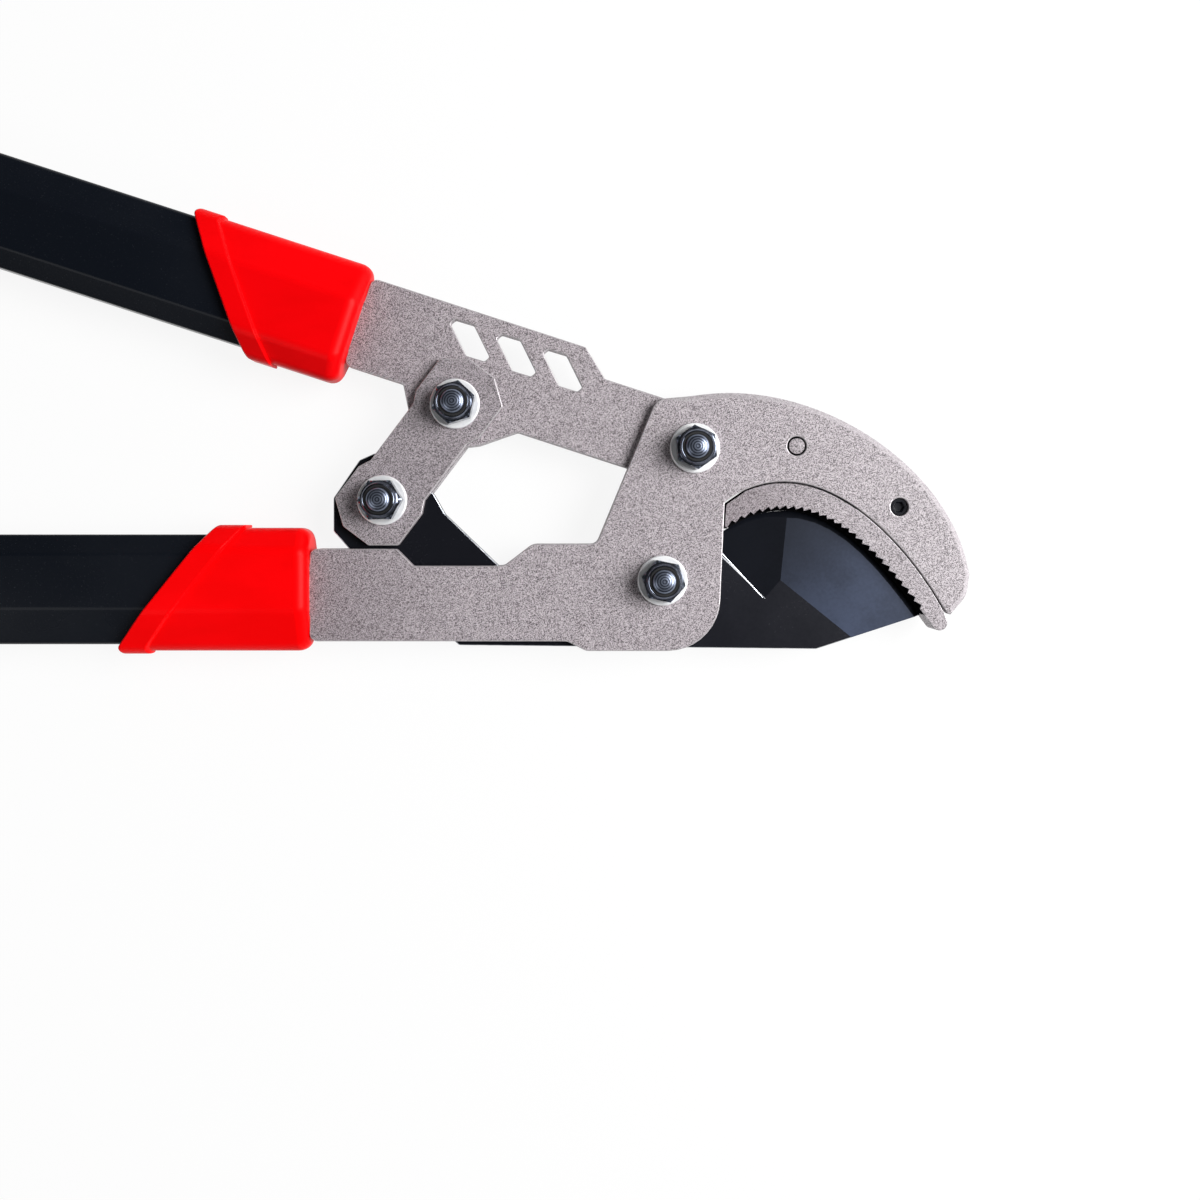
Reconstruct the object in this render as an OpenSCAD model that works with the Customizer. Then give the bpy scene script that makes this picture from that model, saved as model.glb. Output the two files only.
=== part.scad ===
// Long-handled lopper whose blade is driven from the upper handle through a pair of links.
// Millimetres. It lies on its bolt heads: X along the lower handle, head at +X, Z up.
// The origin is on the blade pivot's axis, on the face of its bolt head.

/* [Linkage] */
// Handle pivot, along the tool from the blade pivot
handle_pivot_x = 11; // [9:0.5:13]
// Handle pivot, across the tool from the blade pivot
handle_pivot_y = 45; // [44:0.5:49]
// Blade pivot to the tail pin
tail_len = 99; // [96:1:106]
// Direction of the tail arm, in degrees
tail_angle = 164; // [163:0.5:166]
// Link pin to link pin
link_len = 41; // [40:0.5:44]
// Direction of the links, in degrees
link_angle = 53; // [51:1:55]
// Rake of the upper handle against the lower one, in degrees
handle_angle = 18; // [17:0.5:20]
// How far the upper handle opens, in degrees
opening = 105; // [60:1:105]
// Turn of the blade for each degree of the handle
blade_ratio = 0.77; // [0.765:0.005:0.78]
// Turn of the links for each degree of the handle
link_ratio = 0.132; // [0.126:0.002:0.138]

/* [Layers] */
// Thickness of the blade and the upper handle plate
core_t = 4; // [3:0.25:5]
// Thickness of the jaw plates and the links
side_t = 3; // [2:0.25:4]
// Play between the core and a side plate
side_gap = 0.25; // [0.1:0.05:0.4]
// Radial play of a turning joint
run_fit = 0.05; // [0.02:0.01:0.1]
// Play of a fixed fit
seat_fit = 0.05; // [0.02:0.01:0.1]

/* [Jaw] */
// Blade pivot to the far side of the hook
jaw_reach = 105; // [96:0.5:112]
// Handle pivot to the top of the hook
hook_margin = 18.5; // [16:0.5:21]
// Blade pivot to the jaw plate's lowest edge
jaw_drop = 24; // [22:0.5:27]
// Blade pivot to the throat's upright edge
throat_x = 19; // [17.5:0.5:20]
// Blade pivot to the lower collar's face
bar_len = 120; // [119:0.5:128]
// Height of the bars that run into the collars
bar_h = 31.5; // [29:0.5:33]
// Room between the links and the lower bar
link_room = 1.1; // [0.5:0.1:2]
// Radius of the jaw plate's lower corner
heel_r = 18; // [10:1:20]
// Radius of the bars' shoulders
shoulder_r = 2.7; // [1:0.1:4]
// Depth of the dip in the lower bar's top edge
dip_depth = 5.8; // [3:0.2:7]
// Rise from the lower bar's top edge to the window's floor
floor_rise = 1.7; // [0.5:0.1:3]

/* [Anvil] */
// Width of the toothed rim
rim_w = 8.4; // [7:0.2:9]
// Tooth pitch
tooth_pitch = 3.1; // [2.5:0.1:5]
// Tooth depth
tooth_depth = 1.2; // [0.6:0.1:2]
// How far the rim sits behind the jaw plates' faces
rim_sink = 0.4; // [0:0.1:1]
// Gap between the rim and the hook
rim_gap = 0.35; // [0.1:0.05:0.6]
// Rim of jaw plate that hides the anvil's flange
flange_inset = 4; // [2.5:0.5:6]
// Rivet through the hook
rivet_d = 6.4; // [4:0.2:8]
// Screw through the hook
screw_d = 6; // [4:0.2:7]
// How deep the screw sits below the face
screw_sink = 1; // [0.4:0.1:2]

/* [Blade] */
// Blade pivot to the blade's back edge
blade_drop = 23.6; // [22.5:0.1:25]
// Blade pivot to the back corner
blade_back = 53; // [48:1:58]
// Blade pivot to the tail's lower corner
tail_heel = 69.5; // [66:0.5:73]
// Half width of the tail's end
tail_half = 17.5; // [15.5:0.5:18]
// Gap between the cutting edge and the teeth
edge_gap = 0.35; // [0.2:0.05:1]
// Thickness left at the cutting edge
edge_t = 0.5; // [0.3:0.1:1]
// Slope of the cutting edge's grind, in degrees
edge_slope = 24; // [15:1:35]
// Slope of the facet at the throat, in degrees
throat_slope = 3.4; // [2:0.1:3.6]
// Slope of the facet at the tip, in degrees
tip_slope = 2.3; // [1:0.1:3]
// Room between the blade's tail and the handle plate when open
tail_room = 0.8; // [0.4:0.1:1.5]

/* [Handle plate and links] */
// Half width of the handle plate's neck
neck_half = 13.4; // [12.5:0.1:14]
// Radius of the handle plate's nose
nose_r = 13.2; // [12:0.1:13.4]
// Handle pivot to the upper collar's face
handle_bar_len = 123; // [119:0.5:128]
// Handle pivot's axis line to the middle of the upper bar
handle_offset = 6; // [4:0.5:6]
// Half width of the lobe that carries the upper link bolt
lobe_half = 14; // [13:0.5:15]
// Handle pivot to the first slot
slot_start = 51; // [47:0.5:53]
// Pitch of the slots
slot_pitch = 16.75; // [15.5:0.25:18]
// Height of a slot
slot_h = 10.8; // [7:0.2:12]
// Link pin to the end of the link
link_end = 15.2; // [14:0.2:16]
// Half width of a link's ends
link_half = 13.5; // [12:0.1:14]
// Half width of a link's waist
waist_half = 11.5; // [9:0.1:12]

/* [Tubes and grips] */
// Tube height
tube_h = 37.6; // [34:0.2:40]
// Tube thickness
tube_t = 17; // [16:0.2:17.2]
// Tube wall
tube_wall = 1.5; // [1:0.1:1.6]
// Collar's face to the end of the tube
tube_len = 505; // [350:5:700]
// How far the tube's axis lies inward of the bar
tube_offset = 1.8; // [0:0.1:2]
// Length of the plates' tangs inside the tubes
tang_len = 44; // [30:1:60]
// Height of the tangs
tang_h = 18; // [14:0.5:19]
// Collar wall
collar_wall = 2.3; // [1.5:0.1:2.6]
// Collar length on the inner side
collar_in = 32.6; // [28:0.2:40]
// Collar length on the outer side
collar_out = 64.6; // [55:0.2:70]
// Collar's end wall
collar_face = 3; // [2:0.5:5]
// Width of the collar's raised band
band_w = 11; // [6:0.5:14]
// Height of the collar's raised band
band_h = 1; // [0.4:0.1:1.2]
// Length of a grip
grip_len = 150; // [100:5:200]
// Wall of a grip
grip_wall = 2.4; // [1.5:0.1:2.6]
// Pitch of the grip's ribs
rib_pitch = 9; // [6:0.5:15]
// Height of the grip's ribs
rib_h = 0.9; // [0.3:0.1:1]
// Length of the end cap's tongue
tongue_len = 22; // [16:1:40]
// Width of the end cap's tongue
tongue_w = 24; // [18:1:30]
// Thickness of the end cap's tongue
tongue_t = 12; // [8:1:16]
// Diameter of the hanging hole
hang_d = 9; // [5:0.5:11]

/* [Fasteners] */
// Bolt diameter
bolt_d = 8; // [6:0.5:9]
// Across the flats of heads and nuts
hex_af = 13; // [12:0.5:14]
// Height of a bolt head
head_h = 5.3; // [5:0.1:7]
// Height of a nut's hexagon
nut_h = 5.6; // [4:0.2:8]
// Height of the nut's locking collar
lock_h = 2.4; // [1:0.2:3]
// Diameter of the nut's locking collar
lock_d = 11.6; // [11:0.1:12]
// Bolt end past the nut
bolt_past = 1.6; // [0.5:0.1:4]
// Washer diameter
washer_d = 17; // [15:0.5:18]
// Washer thickness
washer_t = 1.6; // [1:0.1:2.5]
// Outside diameter of the bushes
bush_d = 12; // [10.5:0.5:13]
// Outside diameter of the tail sleeve
sleeve_d = 10; // [9.5:0.1:10.5]
// Rivets through the tubes
tang_rivet_d = 5; // [3:0.5:6]

/* [Hidden] */
$fn = 48;

// Paint and material colours
coat_grey = [0.62, 0.58, 0.58];
blade_black = [0.09, 0.09, 0.11];
tube_black = [0.06, 0.07, 0.09];
collar_red = [0.9, 0.02, 0.04];
grip_black = [0.1, 0.1, 0.1];
zinc = [0.75, 0.77, 0.8];
bronze = [0.6, 0.45, 0.25];

// Overrun of every cut, and room for the half-spaces that shape the blade
over = core_t / 4;
reach_all = 2 * (jaw_reach + bar_len);

// Heights above the middle of the stack
core_room = core_t + 2 * side_gap;
side_low = core_room / 2;
face_z = side_low + side_t;
washer_z = face_z + washer_t;
mid_z = washer_z + head_h;
bolt_r = bolt_d / 2;
bolt_hole_r = bolt_r + seat_fit;
bush_hole_r = bush_d / 2 + run_fit;

// Pins at rest
function polar(r, a) = [r * cos(a), r * sin(a)];
function turned(p, a) = [p[0] * cos(a) - p[1] * sin(a), p[0] * sin(a) + p[1] * cos(a)];
blade_pin = [0, 0];
handle_pin = [handle_pivot_x, handle_pivot_y];
tail_pin = polar(tail_len, tail_angle);
link_pin = tail_pin + polar(link_len, link_angle);

// The links' lower pin as the blade sees it while the handle opens
pin_steps = 24;
function pin_seen(t) =
    turned(handle_pin + turned(link_pin - handle_pin, -t)
           + turned(tail_pin - link_pin, -link_ratio * t), blade_ratio * t) - tail_pin;
pin_path = [for (i = [0:pin_steps]) turned(pin_seen(opening * i / pin_steps), -tail_angle)];
pin_along = [for (p = pin_path) p[0]];
pin_across = [for (p = pin_path) p[1]];
slot_mid = [max(pin_along) + min(pin_along), max(pin_across) + min(pin_across)] / 2;
slot_run = max(pin_along) - min(pin_along);
slot_r = sleeve_d / 2 + (max(pin_across) - min(pin_across)) / 2 + side_gap;

// Smooth curves and rounded outlines
arc_step = 10;
curve_steps = 28;
bend_share = 0.49;
function curve(c, t) =
    pow(1 - t, 3) * c[0] + 3 * pow(1 - t, 2) * t * c[1] + 3 * (1 - t) * t * t * c[2] + pow(t, 3) * c[3];
function heading(c, t) =
    pow(1 - t, 2) * (c[1] - c[0]) + 2 * (1 - t) * t * (c[2] - c[1]) + t * t * (c[3] - c[2]);
function unit(v) = v / norm(v);
function to_right(v) = [v[1], -v[0]];
function beside(c, t, gap) = curve(c, t) + gap * unit(to_right(heading(c, t)));
function stretch(c, from, to, gap = 0) =
    [for (i = [0:curve_steps]) beside(c, from + (to - from) * i / curve_steps, gap)];
function flat(p) = [p[0], p[1]];
function bend(a, b, c, r) =
    let (u = unit(a - b), w = unit(c - b), half = acos(max(-1, min(1, u * w))) / 2)
    let (room = bend_share * min(norm(a - b), norm(c - b)), cut = min(room, r / tan(half)))
    let (mid = b + unit(u + w) * cut / cos(half), from = b + u * cut - mid)
    let (side = u[0] * w[1] - u[1] * w[0] > 0 ? -1 : 1, sweep = 180 - 2 * half)
    let (n = max(1, ceil(sweep / arc_step)))
    [for (i = [0:n]) mid + turned(from, side * sweep * i / n)];
function rounded(path) =
    [for (i = [0:len(path) - 1])
        let (a = path[(i + len(path) - 1) % len(path)], b = path[i], c = path[(i + 1) % len(path)])
        each (len(b) < 3 ? [b] : bend(flat(a), flat(b), flat(c), b[2]))];
function scaled(shares, size) = [for (s = shares) [s[0] * size[0], s[1] * size[1]]];

// Hook curves as shares of the jaw's size, from the throat to the tip
jaw_rise = handle_pivot_y + hook_margin;
jaw_size = [jaw_reach, jaw_rise];
mouth_size = [jaw_reach - throat_x, jaw_rise];
inner_shares = [[0.038, 0.436], [0.435, 0.784], [0.81, 0.07], [0.9, -0.174]];
outer_shares = [[0.089, 0.987], [0.476, 1.116], [0.944, 0.632], [1, 0.029]];
rim_shares = [[-0.12, -1.25], [-0.79, -1.605], [-2.115, 0.968], [-0.845, -0.083]];
hook_inner = [for (p = scaled(inner_shares, mouth_size)) p + [throat_x, 0]];
hook_outer = scaled(outer_shares, jaw_size);
tooth_line = hook_inner + scaled(rim_shares, [rim_w, rim_w]);
rivet_share = [0.436, 0.72];
screw_share = [0.769, 0.394];
rivet_at = [rivet_share[0] * jaw_reach, rivet_share[1] * jaw_rise];
screw_at = [screw_share[0] * jaw_reach, screw_share[1] * jaw_rise];

// Links, from the tail pin along the link, and the lower bar just under them
link_corner_share = 0.4;
link_cut_share = 0.6;
waist_shares = [0.28, 0.56];
corner_share = 0.45;
corner_r = corner_share * side_t;
link_side =
    [[-link_end, -link_corner_share * link_half],
     [-link_cut_share * link_end, -link_half],
     [waist_shares[0] * link_end, -link_half],
     [waist_shares[1] * link_end, -waist_half]];
link_drop = -min([for (p = link_side) turned(p, link_angle)[1]]);
bar_top = tail_pin[1] - link_drop - link_room;
bar_low = bar_top - bar_h;
lower_tube_y = bar_top - bar_h / 2 + tube_offset;
upper_tube_v = handle_offset - tube_offset;

// Tubes: section in shares of the half height (outer side positive) and half thickness
section_shares = [[-1, 0.5], [-0.65, 1], [0.33, 1], [1, 0.42]];
section_r_shares = [0.15, 0.3, 0.4, 0.25];
grip_from = tube_len - grip_len;
rib_count = floor(grip_len / rib_pitch) - 1;
rib_share = 0.5;
rivet_shares = [0.28, 0.68];

// Whole stack in the tangs
stack_t = core_room + 2 * side_t;
spacer_lap = collar_face;

module at_mid(at = [0, 0]) {
    translate([at[0], at[1], mid_z]) children();
}

// A flat plate between two heights above the middle
module plate(path, low, high) {
    translate([0, 0, low]) linear_extrude(high - low) polygon(rounded(path));
}

// A round hole through the whole stack
module hole(at, r) {
    translate([at[0], at[1], -mid_z]) cylinder(r = r, h = 2 * mid_z);
}

// Local frame of the lower handle: X out along the tube from the collar's face, Y to the outer side
module lower_handle_frame() {
    translate([-bar_len, lower_tube_y, mid_z]) rotate(180) children();
}

// Frame of the upper handle's plate: X along the handle from its pivot, Y to the outer side
module upper_plate_frame() {
    at_mid(handle_pin) rotate(180 - handle_angle) mirror([0, 1, 0]) children();
}

module upper_handle_frame() {
    upper_plate_frame() translate([handle_bar_len, upper_tube_v, 0]) children();
}

// Jaw plates

heel_shares = [1.35, 1.08];
throat_lean_share = 0.12;
tower_shares = [-0.019, 0.972];
window_share = -0.213;
dip_shares = [0.368, 0.45, 0.705, 0.753];
tip_shares = [[0.99, -0.085], [0.932, -0.196]];
inner_from_share = 0.03;
inner_to_share = 0.95;
throat_corner_share = 0.6;
throat_corner_r = throat_corner_share * side_t;
tip_r_shares = [2.6, 0.5];
tower_r_shares = [1.9, 1];
heel_bend_share = 1.3;
heel_bend_r = heel_bend_share * side_t;

function bar_end(top, low, len, tang_mid) =
    [[-len, top, shoulder_r],
     [-len, tang_mid + tang_h / 2],
     [-len - tang_len, tang_mid + tang_h / 2, corner_r],
     [-len - tang_len, tang_mid - tang_h / 2, corner_r],
     [-len, tang_mid - tang_h / 2],
     [-len, low, shoulder_r]];

// The throat's upright edge leans a little toward the tip
function throat_edge(y) = throat_x * (1 + throat_lean_share * (y + jaw_drop) / (hook_inner[0][1] + jaw_drop));

jaw_path = concat(
    bar_end(bar_top, bar_low, bar_len, lower_tube_y),
    [[-heel_shares[0] * jaw_drop, bar_low, heel_bend_r],
     [-heel_shares[1] * jaw_drop, -jaw_drop, heel_bend_r],
     [throat_x, -jaw_drop, heel_r],
     [throat_edge(hook_inner[0][1]), hook_inner[0][1] - throat_corner_r / 2, throat_corner_r]],
    stretch(hook_inner, inner_from_share, inner_to_share),
    [[tip_shares[1][0] * jaw_reach, tip_shares[1][1] * jaw_rise, tip_r_shares[1] * side_t],
     [tip_shares[0][0] * jaw_reach, tip_shares[0][1] * jaw_rise, tip_r_shares[0] * side_t]],
    stretch(hook_outer, 1, 0),
    [[tower_shares[0] * jaw_reach, tower_shares[1] * jaw_rise, tower_r_shares[0] * side_t],
     [window_share * jaw_reach, bar_top + floor_rise, tower_r_shares[1] * side_t],
     [-dip_shares[0] * bar_len, bar_top + floor_rise, heel_bend_r],
     [-dip_shares[1] * bar_len, bar_top - dip_depth, heel_bend_r],
     [-dip_shares[2] * bar_len, bar_top - dip_depth, corner_r],
     [-dip_shares[3] * bar_len, bar_top, corner_r]]);

module jaw_plate(low) {
    color(coat_grey) at_mid() difference() {
        plate(jaw_path, low, low + side_t);
        hole(blade_pin, bolt_hole_r);
        hole(handle_pin, bolt_hole_r);
        hole(rivet_at, rivet_d / 2 + seat_fit);
        hole(screw_at, screw_d / 2 + seat_fit);
        for (u = rivet_shares)
            hole([-bar_len - u * tang_len, lower_tube_y], tang_rivet_d / 2 + seat_fit);
    }
}

module front_jaw_plate() {
    jaw_plate(side_low);
}

module rear_jaw_plate() {
    jaw_plate(-face_z);
}

// Anvil

tooth_lean_share = 0.22;
rim_from_share = 0.06;
anvil_tip_shares = [[0.15, -0.55], [0.54, -0.72]];
anvil_tip_r_share = 0.3;
tooth_path = [for (i = [0:curve_steps]) curve(tooth_line, i / curve_steps)];
tooth_run = [for (i = [1:curve_steps]) norm(tooth_path[i] - tooth_path[i - 1])];
function total(list, i = 0) = i < len(list) ? list[i] + total(list, i + 1) : 0;
tooth_count = round(total(tooth_run) / tooth_pitch);
teeth = [for (i = [tooth_count - 1:-1:0])
    each concat([beside(tooth_line, (i + tooth_lean_share) / tooth_count, 0)],
                i > 0 ? [beside(tooth_line, i / tooth_count, -tooth_depth)] : [])];
rim_path = concat(
    [[throat_edge(hook_inner[0][1]) + rim_gap, hook_inner[0][1] - throat_corner_r, throat_corner_r]],
    stretch(hook_inner, rim_from_share, 1, rim_gap),
    [concat(hook_inner[3] + rim_w * anvil_tip_shares[0], rim_w * anvil_tip_r_share),
     concat(tooth_line[3] + rim_w * anvil_tip_shares[1], rim_w * anvil_tip_r_share)],
    [tooth_line[3]], teeth,
    [[throat_edge(tooth_line[0][1]) + rim_gap, tooth_line[0][1] + tooth_depth]]);
flange_from_share = 0.12;
flange_to_share = 0.93;
flange_path = concat(
    stretch(hook_inner, rim_from_share, inner_to_share, tooth_depth),
    stretch(hook_outer, flange_to_share, flange_from_share, flange_inset));

module serrated_anvil() {
    color(coat_grey) at_mid() difference() {
        union() {
            translate([0, 0, rim_sink - face_z])
                linear_extrude(2 * (face_z - rim_sink)) polygon(rounded(rim_path));
            difference() {
                translate([0, 0, -side_low]) linear_extrude(core_room) polygon(flange_path);
                // Room for the handle plate's neck at full opening
                translate([handle_pin[0], handle_pin[1], -side_low - over])
                    rotate(180 - handle_angle - opening)
                        translate([-neck_half, -neck_half - side_gap - tail_room, 0])
                            cube([reach_all, reach_all, core_room + 2 * over]);
            }
        }
        hole(rivet_at, rivet_d / 2 + seat_fit);
        hole(screw_at, screw_d / 2 + seat_fit);
    }
}

module anvil_rivet() {
    color(coat_grey) at_mid(rivet_at) translate([0, 0, -face_z]) cylinder(d = rivet_d, h = 2 * face_z);
}

socket_share = 0.6;

module anvil_screw() {
    screw_len = 2 * (face_z - screw_sink);
    color(tube_black) at_mid(screw_at) difference() {
        cylinder(d = screw_d, h = screw_len, center = true);
        translate([0, 0, screw_len / 2 - screw_sink])
            cylinder(d = socket_share * screw_d, h = screw_sink + over, $fn = 6);
    }
}

// Blade

blade_open = blade_ratio * opening;
handle_seen = turned(handle_pin, blade_open);
tail_top = handle_seen[1] - nose_r - tail_room;
boss_shares = [[0.42, 0.72], [-0.6, 0.76], [-1.2, 0]];
elbow_share = 0.79;
tail_shares = [[1.19, -0.26], [0.98, 0.11], [0.62, 0.5], [-0.17, 0.93], [-0.48, 0.79],
               [-0.99, 0.05], [-0.99, -0.61], [-0.67, -0.96]];
tail_edge_share = 0.945;
back_r = core_t / 2;
boss_r_share = 0.4;
blade_path = concat(
    stretch(tooth_line, 1, 0, edge_gap),
    [[boss_shares[0][0] * blade_drop, boss_shares[0][1] * blade_drop, boss_r_share * blade_drop],
     [boss_shares[1][0] * blade_drop, boss_shares[1][1] * blade_drop, boss_r_share * blade_drop],
     [boss_shares[2][0] * blade_drop, tail_top, boss_r_share * blade_drop],
     [-elbow_share * tail_heel, tail_top, back_r]],
    [for (s = tail_shares) concat(tail_pin + tail_half * s, corner_r)],
    [[-tail_heel, -tail_edge_share * blade_drop, corner_r],
     [blade_back, -blade_drop, back_r]]);

// Where the blade's ground facets meet its flat, as shares of the jaw's reach and the blade's drop
facet_shares = [[0.189, 0.44], [0.336, -0.267], [0.388, 0], [0.611, -0.8]];
facet_points = scaled(facet_shares, [jaw_reach, blade_drop]);
crease_shares = [0.171, 1.5];
crease_top = [crease_shares[0] * jaw_reach, crease_shares[1] * blade_drop];
edge_cuts = 12;

// Removes what lies above a plane that falls away to the left of the line from p to q
module slope_cut(p, q, slope, height, run, lead) {
    d = q - p;
    translate([p[0], p[1], height]) rotate(atan2(d[1], d[0])) rotate([-slope, 0, 0])
        translate([-lead, 0, 0]) cube([run + 2 * lead, reach_all / 4, reach_all / 4]);
}

// The outward side of the cutting edge, cut back along one short stretch
module edge_cut(i) {
    a = beside(tooth_line, i / edge_cuts, edge_gap);
    b = beside(tooth_line, (i + 1) / edge_cuts, edge_gap);
    d = b - a;
    translate([a[0], a[1], edge_t / 2]) rotate(atan2(d[1], d[0])) rotate([-edge_slope, 0, 0])
        translate([-edge_t, -core_t / sin(edge_slope), 0])
            cube([norm(d) + 2 * edge_t, core_t / sin(edge_slope) + core_t, core_t]);
}

module blade_grind() {
    slope_cut(facet_points[2], facet_points[3], tip_slope, core_t / 2,
              norm(facet_points[3] - facet_points[2]), tail_len);
    intersection() {
        slope_cut(facet_points[1], facet_points[2], throat_slope, core_t / 2,
                  norm(facet_points[2] - facet_points[1]), tail_len);
        translate([0, 0, -core_t])
            linear_extrude(3 * core_t)
                polygon([facet_points[1], [jaw_reach, facet_points[1][1]], [jaw_reach, crease_top[1]],
                         crease_top, facet_points[0]]);
    }
    for (i = [0:edge_cuts - 1]) edge_cut(i);
}

module blade() {
    color(blade_black) at_mid() difference() {
        plate(blade_path, -core_t / 2, core_t / 2);
        hole(blade_pin, bush_hole_r);
        translate([tail_pin[0], tail_pin[1], 0]) rotate(tail_angle) translate(concat(slot_mid, 0)) {
            for (s = [-1, 1]) translate([s * slot_run / 2, 0, 0])
                cylinder(r = slot_r, h = core_t + 2 * over, center = true);
            cube([slot_run, 2 * slot_r, core_t + 2 * over], center = true);
        }
        blade_grind();
        mirror([0, 0, 1]) blade_grind();
    }
}

// Upper handle plate, in its own frame

lobe_shares = [[1.39, 0], [1.04, -0.54], [0.55, -0.94], [-0.5, -0.94], [-0.85, -0.78], [-1.64, 0]];
slot_shares = [[0.76, 0.32], [0.65, 0.49], [0.04, 0.5], [-0.76, -0.32], [-0.65, -0.49], [-0.04, -0.5]];
slot_drop_share = 0.32;
slot_corner_share = 0.08;
neck_end_share = 0.71;
rise_share = 0.9;
upper_top = handle_offset + bar_h / 2;
upper_low = handle_offset - bar_h / 2;
link_pin_turned = turned(link_pin - handle_pin, handle_angle - 180);
link_pin_local = [link_pin_turned[0], -link_pin_turned[1]];
slot_v = upper_top - slot_drop_share * bar_h;
function lobe(i) = link_pin_local + lobe_half * lobe_shares[i];
handle_path = concat(
    [for (p = bar_end(upper_top, upper_low, handle_bar_len, upper_tube_v))
        len(p) < 3 ? [-p[0], p[1]] : [-p[0], p[1], p[2]]],
    [[lobe(0)[0], upper_low, corner_r],
     concat(lobe(1), corner_r),
     concat(lobe(2), corner_r),
     concat(lobe(3), corner_r),
     concat(lobe(4), corner_r),
     [lobe(5)[0], -neck_half, corner_r],
     [-nose_r, -neck_half, nose_r],
     [-nose_r, neck_half, nose_r],
     [neck_end_share * slot_start, neck_half, corner_r],
     [rise_share * slot_start, upper_top, corner_r]]);

module upper_handle_plate() {
    color(coat_grey) upper_plate_frame() difference() {
        plate(handle_path, -core_t / 2, core_t / 2);
        hole([0, 0], bush_hole_r);
        hole(link_pin_local, bush_hole_r);
        for (i = [0:2])
            translate([slot_start + i * slot_pitch, slot_v, 0])
                plate([for (s = slot_shares) concat(slot_h * s, slot_corner_share * slot_h)],
                      -core_t, core_t);
        for (u = rivet_shares)
            hole([handle_bar_len + u * tang_len, upper_tube_v], tang_rivet_d / 2 + seat_fit);
    }
}

// Links

link_path = concat(
    [for (p = link_side) concat(p, corner_r)],
    [for (i = [3:-1:0]) [link_len - link_side[i][0], link_side[i][1], corner_r]],
    [for (p = link_side) [link_len - p[0], -p[1], corner_r]],
    [for (i = [3:-1:0]) [link_side[i][0], -link_side[i][1], corner_r]]);

module link(low) {
    color(coat_grey) at_mid(tail_pin) rotate(link_angle) difference() {
        plate(link_path, low, low + side_t);
        hole([0, 0], bolt_hole_r);
        hole([link_len, 0], bolt_hole_r);
    }
}

module front_link() {
    link(side_low);
}

module rear_link() {
    link(-face_z);
}

// Tubes, collars, grips and end caps, each in the frame of its handle

// Section of the tube grown by a wall, extruded along the handle
module bar(from, to, grow) {
    h = tube_h / 2 + grow;
    t = tube_t / 2 + grow;
    half = [for (i = [0:3])
        [section_shares[i][0] * h, section_shares[i][1] * t, section_r_shares[i] * t]];
    path = concat([for (i = [3:-1:0]) half[i]], [for (p = half) [p[0], -p[1], p[2]]]);
    translate([from, 0, 0]) rotate([90, 0, 90]) linear_extrude(to - from) polygon(rounded(path));
}

module tube() {
    color(tube_black) difference() {
        bar(collar_face + seat_fit, tube_len, 0);
        bar(collar_face, tube_len + over, -tube_wall);
        for (u = rivet_shares) hole([u * tang_len, 0], tang_rivet_d / 2 + seat_fit);
    }
}

// Everything in front of a slanted line, longer on the outer side
module slanted(inner, outer) {
    w = tube_h;
    lean = (outer - inner) / tube_h;
    mid = (outer + inner) / 2;
    translate([0, 0, -mid_z]) linear_extrude(2 * mid_z)
        polygon([[-over, -w], [mid - lean * w, -w], [mid + lean * w, w], [-over, w]]);
}

module collar(slot_t) {
    color(collar_red) difference() {
        union() {
            intersection() {
                bar(0, collar_out + collar_in, collar_wall);
                slanted(collar_in, collar_out);
            }
            intersection() {
                bar(collar_face, collar_out + collar_in, collar_wall + band_h);
                difference() {
                    slanted(collar_in, collar_out);
                    slanted(collar_in - band_w, collar_out - band_w);
                }
            }
        }
        bar(collar_face, collar_out + 2 * collar_in, seat_fit);
        cube([2 * collar_face + over, tang_h + 2 * seat_fit, slot_t + 2 * seat_fit], center = true);
    }
}

module tang_insert(slot_t) {
    color(grip_black) difference() {
        bar(collar_face + seat_fit, tang_len + collar_face, -tube_wall - seat_fit);
        cube([2 * (tang_len + seat_fit), tang_h + 2 * seat_fit, slot_t + 2 * seat_fit], center = true);
        for (u = rivet_shares) hole([u * tang_len, 0], tang_rivet_d / 2 + seat_fit);
    }
}

module tang_rivets() {
    color(zinc) for (u = rivet_shares)
        translate([u * tang_len, 0, 0]) cylinder(d = tang_rivet_d, h = tube_t, center = true);
}

module grip() {
    color(grip_black) difference() {
        union() {
            bar(grip_from, tube_len, grip_wall);
            for (i = [1:rib_count])
                bar(grip_from + (i - rib_share / 2) * rib_pitch,
                    grip_from + (i + rib_share / 2) * rib_pitch, grip_wall + rib_h);
        }
        bar(grip_from - over, tube_len + over, seat_fit);
    }
}

cap_plug_share = 0.9;
tongue_r_share = 0.49;

module end_cap() {
    plate_end = tube_len + collar_face;
    color(grip_black) difference() {
        union() {
            bar(tube_len - cap_plug_share * tongue_len, tube_len, -tube_wall - seat_fit);
            bar(tube_len, plate_end, grip_wall);
            plate([[tube_len, -tongue_w / 2],
                   [plate_end + tongue_len, -tongue_w / 2, tongue_r_share * tongue_w],
                   [plate_end + tongue_len, tongue_w / 2, tongue_r_share * tongue_w],
                   [tube_len, tongue_w / 2]], -tongue_t / 2, tongue_t / 2);
        }
        hole([plate_end + tongue_len - tongue_w / 2, 0], hang_d / 2);
    }
}

module lower_tube() {
    lower_handle_frame() tube();
}

module lower_collar() {
    lower_handle_frame() collar(stack_t);
}

module lower_tang_insert() {
    lower_handle_frame() tang_insert(stack_t);
}

module lower_tang_rivets() {
    lower_handle_frame() tang_rivets();
}

module lower_grip() {
    lower_handle_frame() grip();
}

module lower_end_cap() {
    lower_handle_frame() end_cap();
}

module upper_tube() {
    upper_handle_frame() tube();
}

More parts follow.
